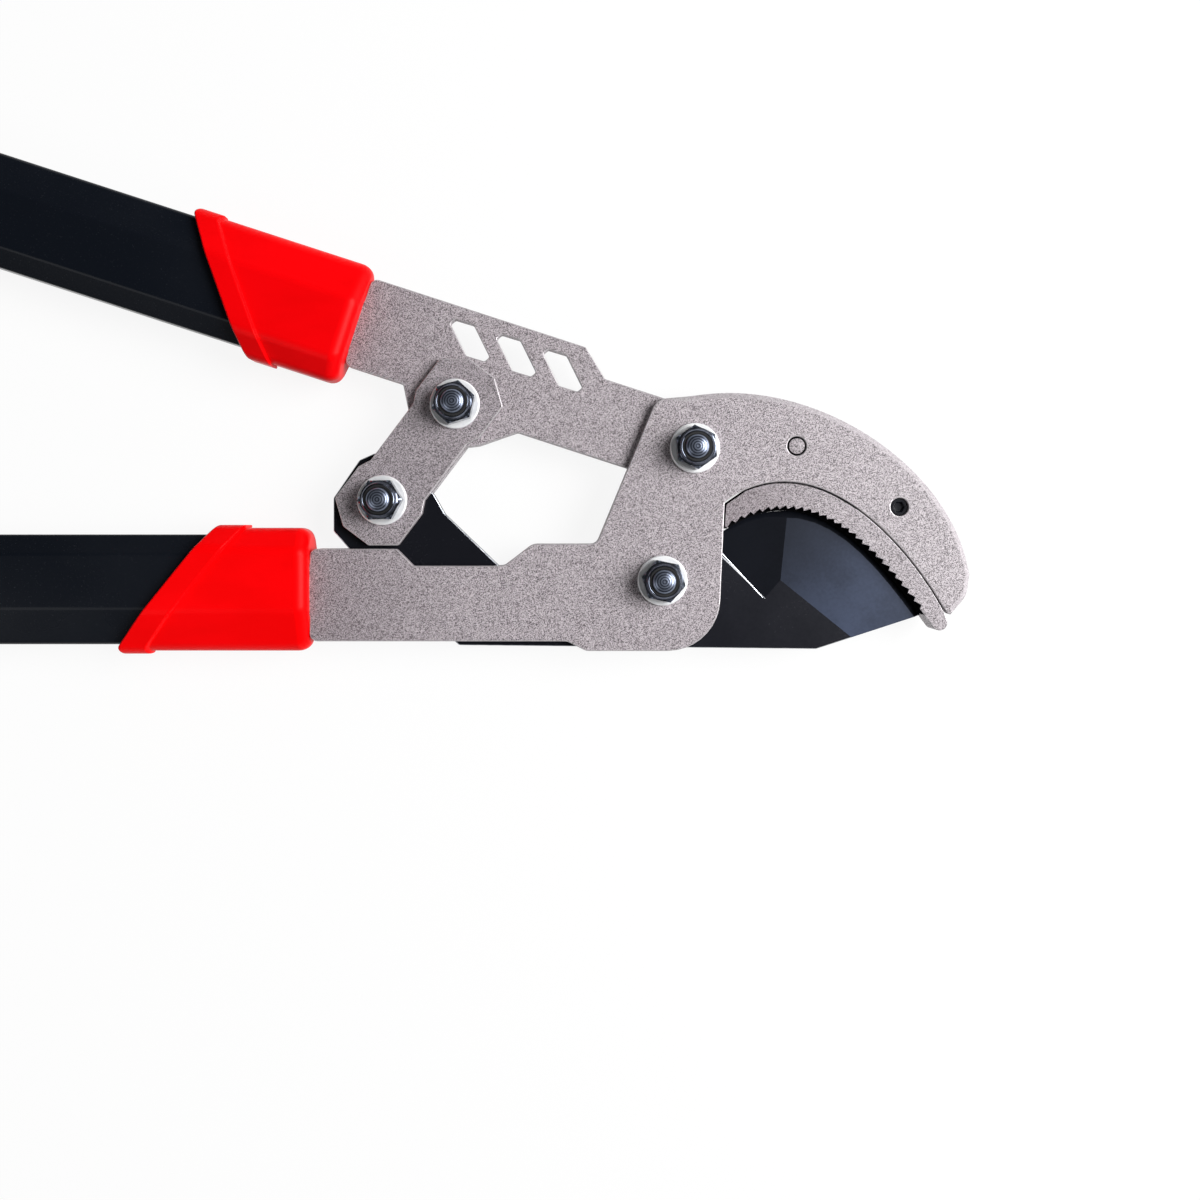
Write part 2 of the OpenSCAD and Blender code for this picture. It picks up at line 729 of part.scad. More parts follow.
module upper_collar() {
    upper_handle_frame() collar(core_t);
}

module upper_tang_insert() {
    upper_handle_frame() tang_insert(core_t);
}

module upper_tang_rivets() {
    upper_handle_frame() tang_rivets();
}

module upper_grip() {
    upper_handle_frame() grip();
}

module upper_end_cap() {
    upper_handle_frame() end_cap();
}

// Fills the gap between the jaw plates where they enter the lower tube
module tang_spacer() {
    color(zinc) lower_handle_frame() difference() {
        translate([-spacer_lap, -tang_h / 2, -side_low])
            cube([tang_len + spacer_lap, tang_h, core_room]);
        for (u = rivet_shares) hole([u * tang_len, 0], tang_rivet_d / 2 + seat_fit);
    }
}

// Fasteners, on the axis of a pin

head_chamfer_share = 0.12;
end_chamfer_share = 0.18;
lock_ring_share = 0.62;
nut_turns = [48, 35, 17, 1];

// A hexagon with its corners turned off at one end or both
module hexagon(h, both) {
    r = hex_af / 2;
    corner = r / cos(30);
    c = head_chamfer_share * r;
    intersection() {
        cylinder(r = corner, h = h, $fn = 6);
        rotate_extrude()
            polygon([[0, 0], [both ? r : corner, 0], [corner, both ? c : 0], [corner, h - c], [r, h], [0, h]]);
    }
}

module bolt(at, angle) {
    end_z = washer_z + nut_h + lock_h + bolt_past;
    c = end_chamfer_share * bolt_r;
    color(zinc) at_mid(at) {
        translate([0, 0, -washer_z]) mirror([0, 0, 1]) rotate(angle) hexagon(head_h, false);
        translate([0, 0, -washer_z])
            rotate_extrude()
                polygon([[0, -c], [bolt_r, -c], [bolt_r, end_z + washer_z - c],
                         [bolt_r - c, end_z + washer_z], [0, end_z + washer_z]]);
    }
}

module nut(at, angle) {
    color(zinc) at_mid(at) translate([0, 0, washer_z]) difference() {
        union() {
            rotate(angle) hexagon(nut_h, true);
            cylinder(d = lock_d, h = nut_h + lock_h);
        }
        translate([0, 0, -over]) cylinder(r = bolt_hole_r, h = nut_h + lock_h + 2 * over);
        translate([0, 0, nut_h]) cylinder(r = lock_r(), h = lock_h + over);
    }
}

function lock_r() = bolt_hole_r + lock_ring_share * (lock_d / 2 - bolt_hole_r);

// The dark ring that grips the thread inside a locking nut
module lock_ring(at) {
    color(grip_black) at_mid(at) translate([0, 0, washer_z + nut_h]) difference() {
        cylinder(r = lock_r() - seat_fit, h = lock_h - over / 2);
        translate([0, 0, -over]) cylinder(r = bolt_hole_r, h = lock_h + 2 * over);
    }
}

module washers(at) {
    color(zinc) at_mid(at) for (z = [-washer_z, face_z])
        translate([0, 0, z]) difference() {
            cylinder(d = washer_d, h = washer_t);
            translate([0, 0, -over]) cylinder(r = bolt_hole_r, h = washer_t + 2 * over);
        }
}

// A tube that keeps the side plates apart around a bolt
module bush(at, d) {
    color(bronze) at_mid(at) difference() {
        cylinder(d = d, h = core_room, center = true);
        cylinder(r = bolt_hole_r, h = core_room + 2 * over, center = true);
    }
}

module blade_pivot_bolt() {
    bolt(blade_pin, nut_turns[0]);
}

module blade_pivot_nut() {
    nut(blade_pin, nut_turns[0]);
}

module blade_pivot_washers() {
    washers(blade_pin);
}

module blade_pivot_bush() {
    bush(blade_pin, bush_d);
}

module handle_pivot_bolt() {
    bolt(handle_pin, nut_turns[1]);
}

module handle_pivot_nut() {
    nut(handle_pin, nut_turns[1]);
}

module handle_pivot_washers() {
    washers(handle_pin);
}

module handle_pivot_bush() {
    bush(handle_pin, bush_d);
}

module upper_link_bolt() {
    bolt(link_pin, nut_turns[2]);
}

module upper_link_nut() {
    nut(link_pin, nut_turns[2]);
}

module upper_link_washers() {
    washers(link_pin);
}

module upper_link_bush() {
    bush(link_pin, bush_d);
}

module lower_link_bolt() {
    bolt(tail_pin, nut_turns[3]);
}

module lower_link_nut() {
    nut(tail_pin, nut_turns[3]);
}

module lower_link_washers() {
    washers(tail_pin);
}

module lower_link_sleeve() {
    bush(tail_pin, sleeve_d);
}

module jaw_lock_rings() {
    for (at = [blade_pin, handle_pin]) lock_ring(at);
}

module link_lock_rings() {
    for (at = [link_pin, tail_pin]) lock_ring(at);
}

front_jaw_plate();
rear_jaw_plate();
serrated_anvil();
anvil_rivet();
anvil_screw();
tang_spacer();
lower_tang_insert();
lower_tang_rivets();
lower_tube();
lower_collar();
lower_grip();
lower_end_cap();
blade_pivot_bolt();
blade_pivot_nut();
blade_pivot_washers();
blade_pivot_bush();
handle_pivot_bolt();
handle_pivot_nut();
handle_pivot_washers();
handle_pivot_bush();
jaw_lock_rings();
upper_handle_plate();
upper_tang_insert();
upper_tang_rivets();
upper_tube();
upper_collar();
upper_grip();
upper_end_cap();
front_link();
rear_link();
upper_link_bolt();
upper_link_nut();
upper_link_washers();
upper_link_bush();
lower_link_bolt();
lower_link_nut();
lower_link_washers();
lower_link_sleeve();
link_lock_rings();
blade();
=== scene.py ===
"""Looks of a long-handled lopper whose blade is driven through a pair of links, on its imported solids."""

import logging
import math
from dataclasses import dataclass
from enum import Enum
from typing import Callable, Sequence

import bmesh
import bpy
from mathutils import Matrix, Vector


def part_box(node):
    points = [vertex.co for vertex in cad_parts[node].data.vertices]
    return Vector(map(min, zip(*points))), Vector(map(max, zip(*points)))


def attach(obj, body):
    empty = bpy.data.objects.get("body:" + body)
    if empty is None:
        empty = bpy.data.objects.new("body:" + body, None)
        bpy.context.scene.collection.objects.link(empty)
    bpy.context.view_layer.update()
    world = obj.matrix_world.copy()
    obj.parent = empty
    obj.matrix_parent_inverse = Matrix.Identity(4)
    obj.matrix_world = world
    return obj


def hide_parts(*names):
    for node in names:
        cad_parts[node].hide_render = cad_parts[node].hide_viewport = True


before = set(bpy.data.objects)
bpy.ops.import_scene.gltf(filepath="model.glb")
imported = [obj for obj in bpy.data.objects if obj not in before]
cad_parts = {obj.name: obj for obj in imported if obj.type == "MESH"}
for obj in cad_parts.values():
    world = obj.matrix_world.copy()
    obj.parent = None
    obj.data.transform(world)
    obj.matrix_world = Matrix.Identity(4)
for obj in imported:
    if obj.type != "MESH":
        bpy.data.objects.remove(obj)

MM = 0.001  # a millimetre in metres
MIDDLE = 12.15  # height of the plates' middle plane, in millimetres
WELD = 0.001 * MM  # points nearer than this are one point
FLAT_ANGLE = 0.3  # faces that meet at less than this many degrees are one flat
RIM_ANGLE = 60  # a plate's faces and walls meet at more than this many degrees
LEVEL = 0.99  # least height of a level face's unit normal
SHARP = 40  # edges above this many degrees stay sharp
Point = tuple[float, float]
Colour = tuple[float, float, float, float]
Setting = object
log = logging.getLogger("lopper")


class Body(str, Enum):
    """The bodies that pieces ride on."""

    JAW = "jaw"
    HANDLE = "handle"
    LINK = "link"
    BLADE = "blade"


class Slot(str, Enum):
    """Names of the record's material slots."""

    COAT = "coat_grey"
    BLADE = "blade_black"
    SCREW = "screw_black"
    TUBE = "tube_black"
    COLLAR = "collar_red"
    GRIP = "grip_rubber"
    CAP = "cap_plastic"
    RING = "ring_nylon"
    ZINC = "zinc"


# Nodes


class Field:
    """An output socket; Python's operators on it add Math nodes to its tree."""

    def __init__(self, nodes: "Nodes", socket: bpy.types.NodeSocket) -> None:
        """Keeps the tree and the socket."""
        self.nodes = nodes
        self.socket = socket

    def math(self, operation: str, first: "Field | float", second: "Field | float" = 0.0) -> "Field":
        """Adds one Math node.

        Args:
            operation: The node's operation.
            first: Its first value.
            second: Its second value.

        Returns:
            The node's result.
        """
        return self.nodes.add("ShaderNodeMath", {"operation": operation}, {0: first, 1: second})

    def __add__(self, other: "Field | float") -> "Field":
        """Sum."""
        return self.math("ADD", self, other)

    def __radd__(self, other: float) -> "Field":
        """Sum with a number first."""
        return self.math("ADD", other, self)

    def __sub__(self, other: "Field | float") -> "Field":
        """Difference."""
        return self.math("SUBTRACT", self, other)

    def __rsub__(self, other: float) -> "Field":
        """Difference with a number first."""
        return self.math("SUBTRACT", other, self)

    def __mul__(self, other: "Field | float") -> "Field":
        """Product."""
        return self.math("MULTIPLY", self, other)

    def __rmul__(self, other: float) -> "Field":
        """Product with a number first."""
        return self.math("MULTIPLY", other, self)

    def __truediv__(self, other: "Field | float") -> "Field":
        """Quotient."""
        return self.math("DIVIDE", self, other)

    def __rtruediv__(self, other: float) -> "Field":
        """Quotient with a number first."""
        return self.math("DIVIDE", other, self)

    def apply(self, operation: str, other: "Field | float" = 0.0) -> "Field":
        """One Math node by its operation's name."""
        return self.math(operation, self, other)

    def between(self, low: float, high: float) -> "Field":
        """Rises smoothly from 0 at low to 1 at high.

        Args:
            low: Value that gives 0.
            high: Value that gives 1.

        Returns:
            The smooth step.
        """
        values = {"Value": self, "From Min": low, "From Max": high}
        return self.nodes.add("ShaderNodeMapRange", {"interpolation_type": "SMOOTHSTEP"}, values)


class Nodes:
    """A node tree that is being built."""

    def __init__(self, tree: bpy.types.NodeTree) -> None:
        """Keeps the tree and empties it."""
        self.tree = tree
        tree.nodes.clear()

    @staticmethod
    def find(sockets: Sequence[bpy.types.NodeSocket], key: "str | int") -> bpy.types.NodeSocket:
        """Picks a socket by number, identifier or name.

        Args:
            sockets: A node's inputs or outputs.
            key: What to pick by.

        Returns:
            The socket.
        """
        if isinstance(key, int):
            return sockets[key]
        by_identifier = [socket for socket in sockets if socket.identifier == key]
        by_name = [socket for socket in sockets if socket.name == key and socket.enabled]
        return (by_identifier + by_name)[0]

    def add(self, kind: str, settings: dict[str, Setting], inputs: dict["str | int", Setting],
            out: "str | int" = 0) -> Field:
        """Adds a node.

        Args:
            kind: The node's type.
            settings: Its own settings, set first.
            inputs: Values or fields for its sockets.
            out: The output to return.

        Returns:
            That output.
        """
        node = self.tree.nodes.new(kind)
        for name, value in settings.items():
            setattr(node, name, value)
        for key, value in inputs.items():
            socket = self.find(node.inputs, key)
            if isinstance(value, Field):
                self.tree.links.new(value.socket, socket)
            else:
                socket.default_value = value
        return Field(self, self.find(node.outputs, out)) if len(node.outputs) else Field(self, None)

    def place(self) -> Field:
        """Object coordinates, in metres."""
        return self.add("ShaderNodeTexCoord", {}, {}, "Object")

    def split(self, vector: Field) -> tuple[Field, Field, Field]:
        """Takes a vector apart.

        Args:
            vector: The vector.

        Returns:
            Its three parts.
        """
        first = self.add("ShaderNodeSeparateXYZ", {}, {0: vector})
        outputs = first.socket.node.outputs
        return first, Field(self, outputs[1]), Field(self, outputs[2])

    def noise(self, scale: float, detail: float = 2.0, stretch: Sequence[float] = (1, 1, 1),
              turn: float = 0.0) -> Field:
        """Smooth noise on Object coordinates, tilted so that no flat face lies along its lattice.

        Args:
            scale: Features per metre.
            detail: Layers of finer noise.
            stretch: Scale along each axis before the noise.
            turn: Turn about Z before the noise, in degrees.

        Returns:
            The noise, about 0.5 in the middle.
        """
        tilt_x, tilt_y = 0.7, 0.5
        turns = (tilt_x, tilt_y, math.radians(turn))
        inputs = {"Vector": self.place(), "Rotation": turns, "Scale": tuple(stretch)}
        moved = self.add("ShaderNodeMapping", {}, inputs)
        return self.add("ShaderNodeTexNoise", {}, {"Vector": moved, "Scale": scale, "Detail": detail})

    def cells(self, scale: float, out: str) -> Field:
        """Voronoi cells on Object coordinates."""
        return self.add("ShaderNodeTexVoronoi", {}, {"Vector": self.place(), "Scale": scale}, out)

    def along(self, line: tuple[Point, ...]) -> Field:
        """How far along a line in the tool's plane a place lies.

        Args:
            line: Where it begins and where it ends, in metres.

        Returns:
            0 at its start and 1 at its end, less before it and more beyond.
        """
        x, y, _ = self.split(self.place())
        (ax, ay), (bx, by) = line
        dx, dy = bx - ax, by - ay
        run = dx * dx + dy * dy
        return (x - ax) * (dx / run) + (y - ay) * (dy / run)

    def mix(self, share: "Field | float", low: "Field | Colour", high: "Field | Colour") -> Field:
        """A colour between two.

        Args:
            share: 0 gives low and 1 gives high.
            low: First colour.
            high: Second colour.

        Returns:
            The mixed colour.
        """
        inputs = {"Factor_Float": share, "A_Color": low, "B_Color": high}
        return self.add("ShaderNodeMix", {"data_type": "RGBA"}, inputs, "Result_Color")

    def bump(self, height: Field, strength: float, depth: float) -> Field:
        """A normal that a height field bends.

        Args:
            height: The height, 0 to 1.
            strength: How much of it shows.
            depth: Height in metres of a value of 1.

        Returns:
            The normal.
        """
        return self.add("ShaderNodeBump", {}, {"Height": height, "Strength": strength, "Distance": depth})

    def surface(self, inputs: dict[str, Setting]) -> None:
        """Ends a material's tree in a Principled shader with these inputs."""
        shader = self.add("ShaderNodeBsdfPrincipled", {}, inputs)
        self.add("ShaderNodeOutputMaterial", {}, {"Surface": shader})


# Finishes


@dataclass(frozen=True)
class Finish:
    """A surface finish that becomes one material."""

    name: str

    def inputs(self, nodes: Nodes) -> dict[str, Setting]:
        """The Principled shader's inputs."""
        raise NotImplementedError

    def make(self) -> bpy.types.Material:
        """Builds the material.

        Returns:
            The material.
        """
        material = bpy.data.materials.new(self.name)
        material.use_nodes = True
        nodes = Nodes(material.node_tree)
        nodes.surface(self.inputs(nodes))
        return material


@dataclass(frozen=True)
class SpeckledCoat(Finish):
    """Baked powder coat with a fine light and dark grain, darkened by painted shade before a line where one
    is given.

    Attributes:
        grain: Grains per metre.
        cell_share: Part of the tone that each grain has to itself; the rest is noise.
        tone_span: Values that give the dark and the light colour.
        flake_span: Values between which a grain turns into a flake.
        flake_cover: How much of the coat a flake hides.
        smoother: How much smoother light grains and flakes are.
        tooth: Strength and depth of the tooth.
    """

    dark: Colour = (0.03, 0.018, 0.024, 1)
    light: Colour = (0.56, 0.505, 0.535, 1)
    flake: Colour = (0.7, 0.65, 0.68, 1)
    # Painted shade: the colour that the coat darkens to before the line, the line itself, and how strongly.
    painted_shade: Colour = (0.06, 0.03, 0.042, 1)
    painted_shade_line: tuple[Point, ...] = ()
    painted_shade_share: float = 0.0
    grain: float = 5200
    cell_share: float = 0.75
    tone_span: Point = (0.2, 0.76)
    flake_span: Point = (0.9, 0.94)
    flake_cover: float = 0.4
    roughness: float = 0.56
    smoother: Point = (0.12, 0.1)
    metallic: float = 0.0
    tooth: Point = (0.3, 0.06 * MM)
    shine: float = 0.8

    def inputs(self, nodes: Nodes) -> dict[str, Setting]:
        """Grains of a random tone each, scattered light flakes, soil and a slight tooth.

        Args:
            nodes: The material's tree.

        Returns:
            The shader's inputs.
        """
        grain = nodes.noise(self.grain, detail=1)
        pick, odd, _ = nodes.split(nodes.cells(self.grain, "Color"))
        tone = (pick * self.cell_share + grain * (1 - self.cell_share)).between(*self.tone_span)
        flakes = odd.between(*self.flake_span)
        coat = nodes.mix(flakes * self.flake_cover, nodes.mix(tone, self.dark, self.light), self.flake)
        # Painted shade: the coat darkens before the line's start and is clean past its end.
        if self.painted_shade_line:
            beyond_shade = nodes.along(self.painted_shade_line).between(0.0, 1.0)
            coat = nodes.mix((1 - beyond_shade) * self.painted_shade_share, coat, self.painted_shade)
        return {
            "Base Color": coat,
            "Roughness": self.roughness - tone * self.smoother[0] - flakes * self.smoother[1],
            "Metallic": self.metallic,
            "Normal": nodes.bump(grain, *self.tooth),
            "Specular IOR Level": self.shine,
        }


@dataclass(frozen=True)
class BlackCoat(Finish):
    """Black coated steel, clouded a little, darkened by painted shade before a line, and with a painted
    highlight along a crease.

    Attributes:
        painted_light_line: Where the painted shade ends and the full tone begins.
        painted_shade_from: Share of the tone left before that line; the rest is painted shade.
        crease: The two ends of the painted highlight along the crease.
        crease_half: Half its width at its start.
        crease_taper: How much of that width is gone at its end.
        crease_soft: Shares of the half width between which it fades.
        crease_highlight_metallic: How metallic the painted highlight is.
        clouds: Clouds per metre.
        specks: Specks per metre.
        cloud_share: Part of the tone that the clouds have; the rest is specks.
        tone_span: Values that give the least and the most tone.
        least_tone: The least tone.
        uneven: What clouds and specks add to the roughness.
        tooth: Strength and depth of the specks' tooth.
    """

    base: Colour = (0.005, 0.0055, 0.008, 1)
    pale: Colour = (0.0115, 0.012, 0.0165, 1)
    roughness: float = 0.26
    shine: float = 0.24
    painted_light_line: tuple[Point, ...] = ((-45 * MM, 0.0), (15 * MM, 0.0))
    painted_shade_from: float = 1.0
    # Painted highlight: the colour along the crease.
    bare: Colour = (0.8, 0.82, 0.86, 1)
    crease: tuple[Point, ...] = ()
    crease_half: float = 0.36 * MM
    crease_taper: float = 0.75
    crease_soft: Point = (0.45, 1.0)
    crease_highlight_metallic: float = 0.3
    clouds: float = 48
    specks: float = 900
    cloud_share: float = 0.7
    tone_span: Point = (0.3, 0.62)
    least_tone: float = 0.6
    uneven: Point = (0.08, 0.06)
    tooth: Point = (0.03, 0.02 * MM)

    def on_crease(self, nodes: Nodes) -> Field:
        """How strong the painted highlight is along the crease, which narrows toward its end.

        Args:
            nodes: The material's tree.

        Returns:
            1 on the line and 0 away from it.
        """
        along = nodes.along(self.crease).apply("MAXIMUM", 0.0).apply("MINIMUM", 1.0)
        x, y, _ = nodes.split(nodes.place())
        (ax, ay), (bx, by) = self.crease
        off_x = x - ax - along * (bx - ax)
        off_y = y - ay - along * (by - ay)
        away = (off_x * off_x + off_y * off_y).apply("SQRT")
        half = (1 - along * self.crease_taper) * self.crease_half
        return 1 - (away / half).between(*self.crease_soft)

    def inputs(self, nodes: Nodes) -> dict[str, Setting]:
        """Clouds and fine specks in the coat, painted shade before a line, and a painted highlight along the
        crease where there is one.

        Args:
            nodes: The material's tree.

        Returns:
            The shader's inputs.
        """
        cloud = nodes.noise(self.clouds, detail=3)
        specks = nodes.noise(self.specks, detail=3)
        # Painted shade: the tone drops before the line and is full past it.
        ahead = nodes.along(self.painted_light_line).between(0.0, 1.0) * (1 - self.painted_shade_from) + self.painted_shade_from
        blotch = (cloud * self.cloud_share + specks * (1 - self.cloud_share)).between(*self.tone_span)
        tone = (self.least_tone + blotch * (1 - self.least_tone)) * ahead
        colour = nodes.mix(tone, self.base, self.pale)
        uneven = (cloud - 0.5) * self.uneven[0] + (specks - 0.5) * self.uneven[1]
        inputs = {
            "Base Color": colour,
            "Roughness": self.roughness + uneven,
            "Normal": nodes.bump(specks, *self.tooth),
            "Specular IOR Level": self.shine,
        }
        # Painted highlight along the crease.
        if self.crease:
            worn = self.on_crease(nodes)
            inputs["Base Color"] = nodes.mix(worn, colour, self.bare)
            inputs["Metallic"] = worn * self.crease_highlight_metallic
        return inputs


@dataclass(frozen=True)
class GlossPaint(Finish):
    """Gloss paint on a drawn tube: a faint orange peel and a little dust.

    Attributes:
        peel: Dimples per metre.
        specks: Dust specks per metre.
        film: Patches of dust film per metre.
        speck_span: Values between which a speck shows.
        film_span: Values between which the film shows.
        dusty: How much of the colour specks and film take.
        dull: What film and specks add to the roughness.
        tooth: Strength and depth of the orange peel.
    """

    base: Colour = (0.0045, 0.006, 0.0095, 1)
    dust: Colour = (0.03, 0.033, 0.04, 1)
    roughness: float = 0.24
    peel: float = 420
    specks: float = 1700
    film: float = 24
    speck_span: Point = (0.62, 0.74)
    film_span: Point = (0.4, 0.72)
    dusty: Point = (0.3, 0.06)
    dull: Point = (0.06, 0.12)
    tooth: Point = (0.06, 0.03 * MM)
    shine: float = 0.14

    def inputs(self, nodes: Nodes) -> dict[str, Setting]:
        """Orange peel in the normal, dust in the colour and the roughness.

        Args:
            nodes: The material's tree.

        Returns:
            The shader's inputs.
        """
        peel = nodes.noise(self.peel, detail=2)
        specks = nodes.noise(self.specks, detail=3).between(*self.speck_span)
        film = nodes.noise(self.film, detail=4).between(*self.film_span)
        cover = specks * self.dusty[0] + film * self.dusty[1]
        return {
            "Base Color": nodes.mix(cover, self.base, self.dust),
            "Roughness": self.roughness + film * self.dull[0] + specks * self.dull[1],
            "Normal": nodes.bump(peel, *self.tooth),
            "Specular IOR Level": self.shine,
        }


@dataclass(frozen=True)
class MouldedRed(Finish):
    """Moulded glossy plastic in red.

    Attributes:
        flow: Flow marks per metre, stretched by flow_stretch.
        grain: Grains of the mould per metre.
        flow_span: Values that give the base and the deep colour.
        uneven: What grain and flow add to the roughness.
        tooth: Strength and depth of the mould's grain.
    """

    base: Colour = (0.93, 0.0006, 0.0018, 1)
    deep: Colour = (0.88, 0.0004, 0.0012, 1)
    roughness: float = 0.34
    flow: float = 38
    flow_stretch: tuple[float, float, float] = (1, 2.5, 1)
    grain: float = 1400
    flow_span: Point = (0.35, 0.68)
    uneven: Point = (0.1, 0.06)
    tooth: Point = (0.04, 0.03 * MM)
    shine: float = 0.06

    def inputs(self, nodes: Nodes) -> dict[str, Setting]:
        """Slow flow marks in the colour and a fine mould grain.

        Args:
            nodes: The material's tree.

        Returns:
            The shader's inputs.
        """
        flow = nodes.noise(self.flow, detail=3, stretch=self.flow_stretch)
        grain = nodes.noise(self.grain, detail=2)
        uneven = (grain - 0.5) * self.uneven[0] + (flow - 0.5) * self.uneven[1]
        return {
            "Base Color": nodes.mix(flow.between(*self.flow_span), self.base, self.deep),
            "Roughness": self.roughness + uneven,
            "Normal": nodes.bump(grain, *self.tooth),
            "Specular IOR Level": self.shine,
        }


@dataclass(frozen=True)
class PebbledRubber(Finish):
    """Black rubber or dark plastic with a pebbled skin.

    Attributes:
        pebbles: Pebbles per metre.
        depth: Height of a pebble, in metres.
        relief: How much of that height shows.
        patches: Rubbed patches per metre.
        rub_span: Values between which a patch shows.
        paler: How much paler patches and pebbles' rims are.
        smoother: How much smoother a patch is.
    """

    base: Colour = (0.012, 0.012, 0.013, 1)
    worn: Colour = (0.035, 0.035, 0.037, 1)
    pebbles: float = 1100
    roughness: float = 0.66
    depth: float = 0.12 * MM
    relief: float = 0.5
    patches: float = 55
    rub_span: Point = (0.4, 0.68)
    paler: Point = (0.6, 0.2)
    smoother: float = 0.12

    def inputs(self, nodes: Nodes) -> dict[str, Setting]:
        """Pebbles in the normal and paler, smoother skin where hands rub it.

        Args:
            nodes: The material's tree.

        Returns:
            The shader's inputs.
        """
        pebble = nodes.cells(self.pebbles, "Distance")
        rubbed = nodes.noise(self.patches, detail=4).between(*self.rub_span)
        pale = rubbed * self.paler[0] + pebble * self.paler[1]
        return {
            "Base Color": nodes.mix(pale, self.base, self.worn),
            "Roughness": self.roughness - rubbed * self.smoother,
            "Normal": nodes.bump(1 - pebble, self.relief, self.depth),
        }


@dataclass(frozen=True)
class Plating(Finish):
    """Bright plated or bare metal with fine scratches.

    Attributes:
        clouds: Clouds per metre.
        scratches: Scratches per metre, stretched by scratch_stretch and turned by scratch_turn degrees.
        cloud_span: Values that give the base and the dull colour.
        spread: What the clouds add to the roughness.
        scuff: What the scratches add to it.
        tooth: Strength and depth of the scratches.
    """

    base: Colour = (0.17, 0.19, 0.24, 1)
    dull: Colour = (0.06, 0.068, 0.09, 1)
    roughness: float = 0.12
    spread: float = 0.12
    metallic: float = 1.0
    clouds: float = 260
    scratches: float = 2600
    scratch_stretch: tuple[float, float, float] = (1, 0.25, 1)
    scratch_turn: float = 25
    cloud_span: Point = (0.38, 0.66)
    scuff: float = 0.1
    tooth: Point = (0.06, 0.03 * MM)

    def inputs(self, nodes: Nodes) -> dict[str, Setting]:
        """Clouded plating with a fine scratched grain.

        Args:
            nodes: The material's tree.

        Returns:
            The shader's inputs.
        """
        cloud = nodes.noise(self.clouds, detail=3)
        grain = nodes.noise(self.scratches, detail=2, stretch=self.scratch_stretch, turn=self.scratch_turn)
        return {
            "Base Color": nodes.mix(cloud.between(*self.cloud_span), self.base, self.dull),
            "Roughness": self.roughness + (cloud - 0.4) * self.spread + (grain - 0.5) * self.scuff,
            "Metallic": self.metallic,
            "Normal": nodes.bump(grain, *self.tooth),
        }


@dataclass(frozen=True)
class TurnedMetal(Finish):
    """Metal faced on a lathe, with rings round each axis.

    Attributes:
        pitch: From ring to ring, in metres.
        axes: The axes, in metres.
        scuffs: Scuffs per metre.
        ring_share: Part of the tone that the rings have; the rest is scuffs.
        ring_relief: Part of the relief that the rings have; the rest is scuffs.
        tone_span: Values that give the dark and the base colour.
        rougher: What the scuffs add to the roughness.
        tooth: Strength and depth of the relief.
    """

    base: Colour = (0.25, 0.285, 0.37, 1)
    dark: Colour = (0.05, 0.058, 0.085, 1)
    roughness: float = 0.24
    metallic: float = 0.85
    pitch: float = 0.85 * MM
    axes: tuple[Point, ...] = ()
    scuffs: float = 1500
    ring_share: float = 0.6
    ring_relief: float = 0.7
    tone_span: Point = (0.2, 0.75)
    rougher: float = 0.15
    tooth: Point = (0.4, 0.06 * MM)

    def inputs(self, nodes: Nodes) -> dict[str, Setting]:
        """Rings round the nearest axis in the colour and the normal.

        Args:
            nodes: The material's tree.

        Returns:
            The shader's inputs.
        """
        x, y, _ = nodes.split(nodes.place())
        radius = None
        for ax, ay in self.axes:
            reach = ((x - ax) * (x - ax) + (y - ay) * (y - ay)).apply("SQRT")
            radius = reach if radius is None else radius.apply("MINIMUM", reach)
        rings = (radius * (math.tau / self.pitch)).apply("SINE") * 0.5 + 0.5
        scuff = nodes.noise(self.scuffs, detail=3)
        shade = (rings * self.ring_share + scuff * (1 - self.ring_share)).between(*self.tone_span)
        relief = rings * self.ring_relief + scuff * (1 - self.ring_relief)
        return {
            "Base Color": nodes.mix(shade, self.dark, self.base),
            "Roughness": self.roughness + scuff * self.rougher,
            "Metallic": self.metallic,
            "Normal": nodes.bump(relief, *self.tooth),
        }


# Mesh tools


def new_object(name: str, mesh: bpy.types.Mesh) -> bpy.types.Object:
    """Puts a mesh into the scene as an object at the origin.

    Args:
        name: The object's name.
        mesh: Its mesh, already in place.

    Returns:
        The object.
    """
    made = bpy.data.objects.new(name, mesh)
    bpy.context.scene.collection.objects.link(made)
    return made


def evaluated(source: bpy.types.Object) -> bpy.types.Mesh:
    """The plain mesh that an object's modifiers give.

    Args:
        source: An object with live modifiers.

    Returns:
        The new mesh.
    """
    graph = bpy.context.evaluated_depsgraph_get()
    return bpy.data.meshes.new_from_object(source.evaluated_get(graph))


def to_mesh(work: bmesh.types.BMesh, name: str) -> bpy.types.Mesh:
    """Ends the work on a bmesh.

    Args:
        work: The bmesh, which is freed.
        name: The new mesh's name.

    Returns:
        The mesh.
    """
    mesh = bpy.data.meshes.new(name)
    work.to_mesh(mesh)
    work.free()
    return mesh


def smooth(mesh: bpy.types.Mesh, sharp: float) -> bpy.types.Mesh:
    """Shades a mesh smooth, with flat faces kept flat and edges above an angle kept sharp.

    Args:
        mesh: The mesh to shade.
        sharp: The angle in degrees.

    Returns:
        The shaded mesh.
    """
    for face in mesh.polygons:
        face.use_smooth = True
    mesh.set_sharp_from_angle(angle=math.radians(sharp))
    holder = new_object("holder", mesh)
    weigh = holder.modifiers.new("weigh", "WEIGHTED_NORMAL")
    weigh.keep_sharp = True
    result = evaluated(holder)
    result.name = mesh.name
    bpy.data.objects.remove(holder)
    bpy.data.meshes.remove(mesh)
    return result


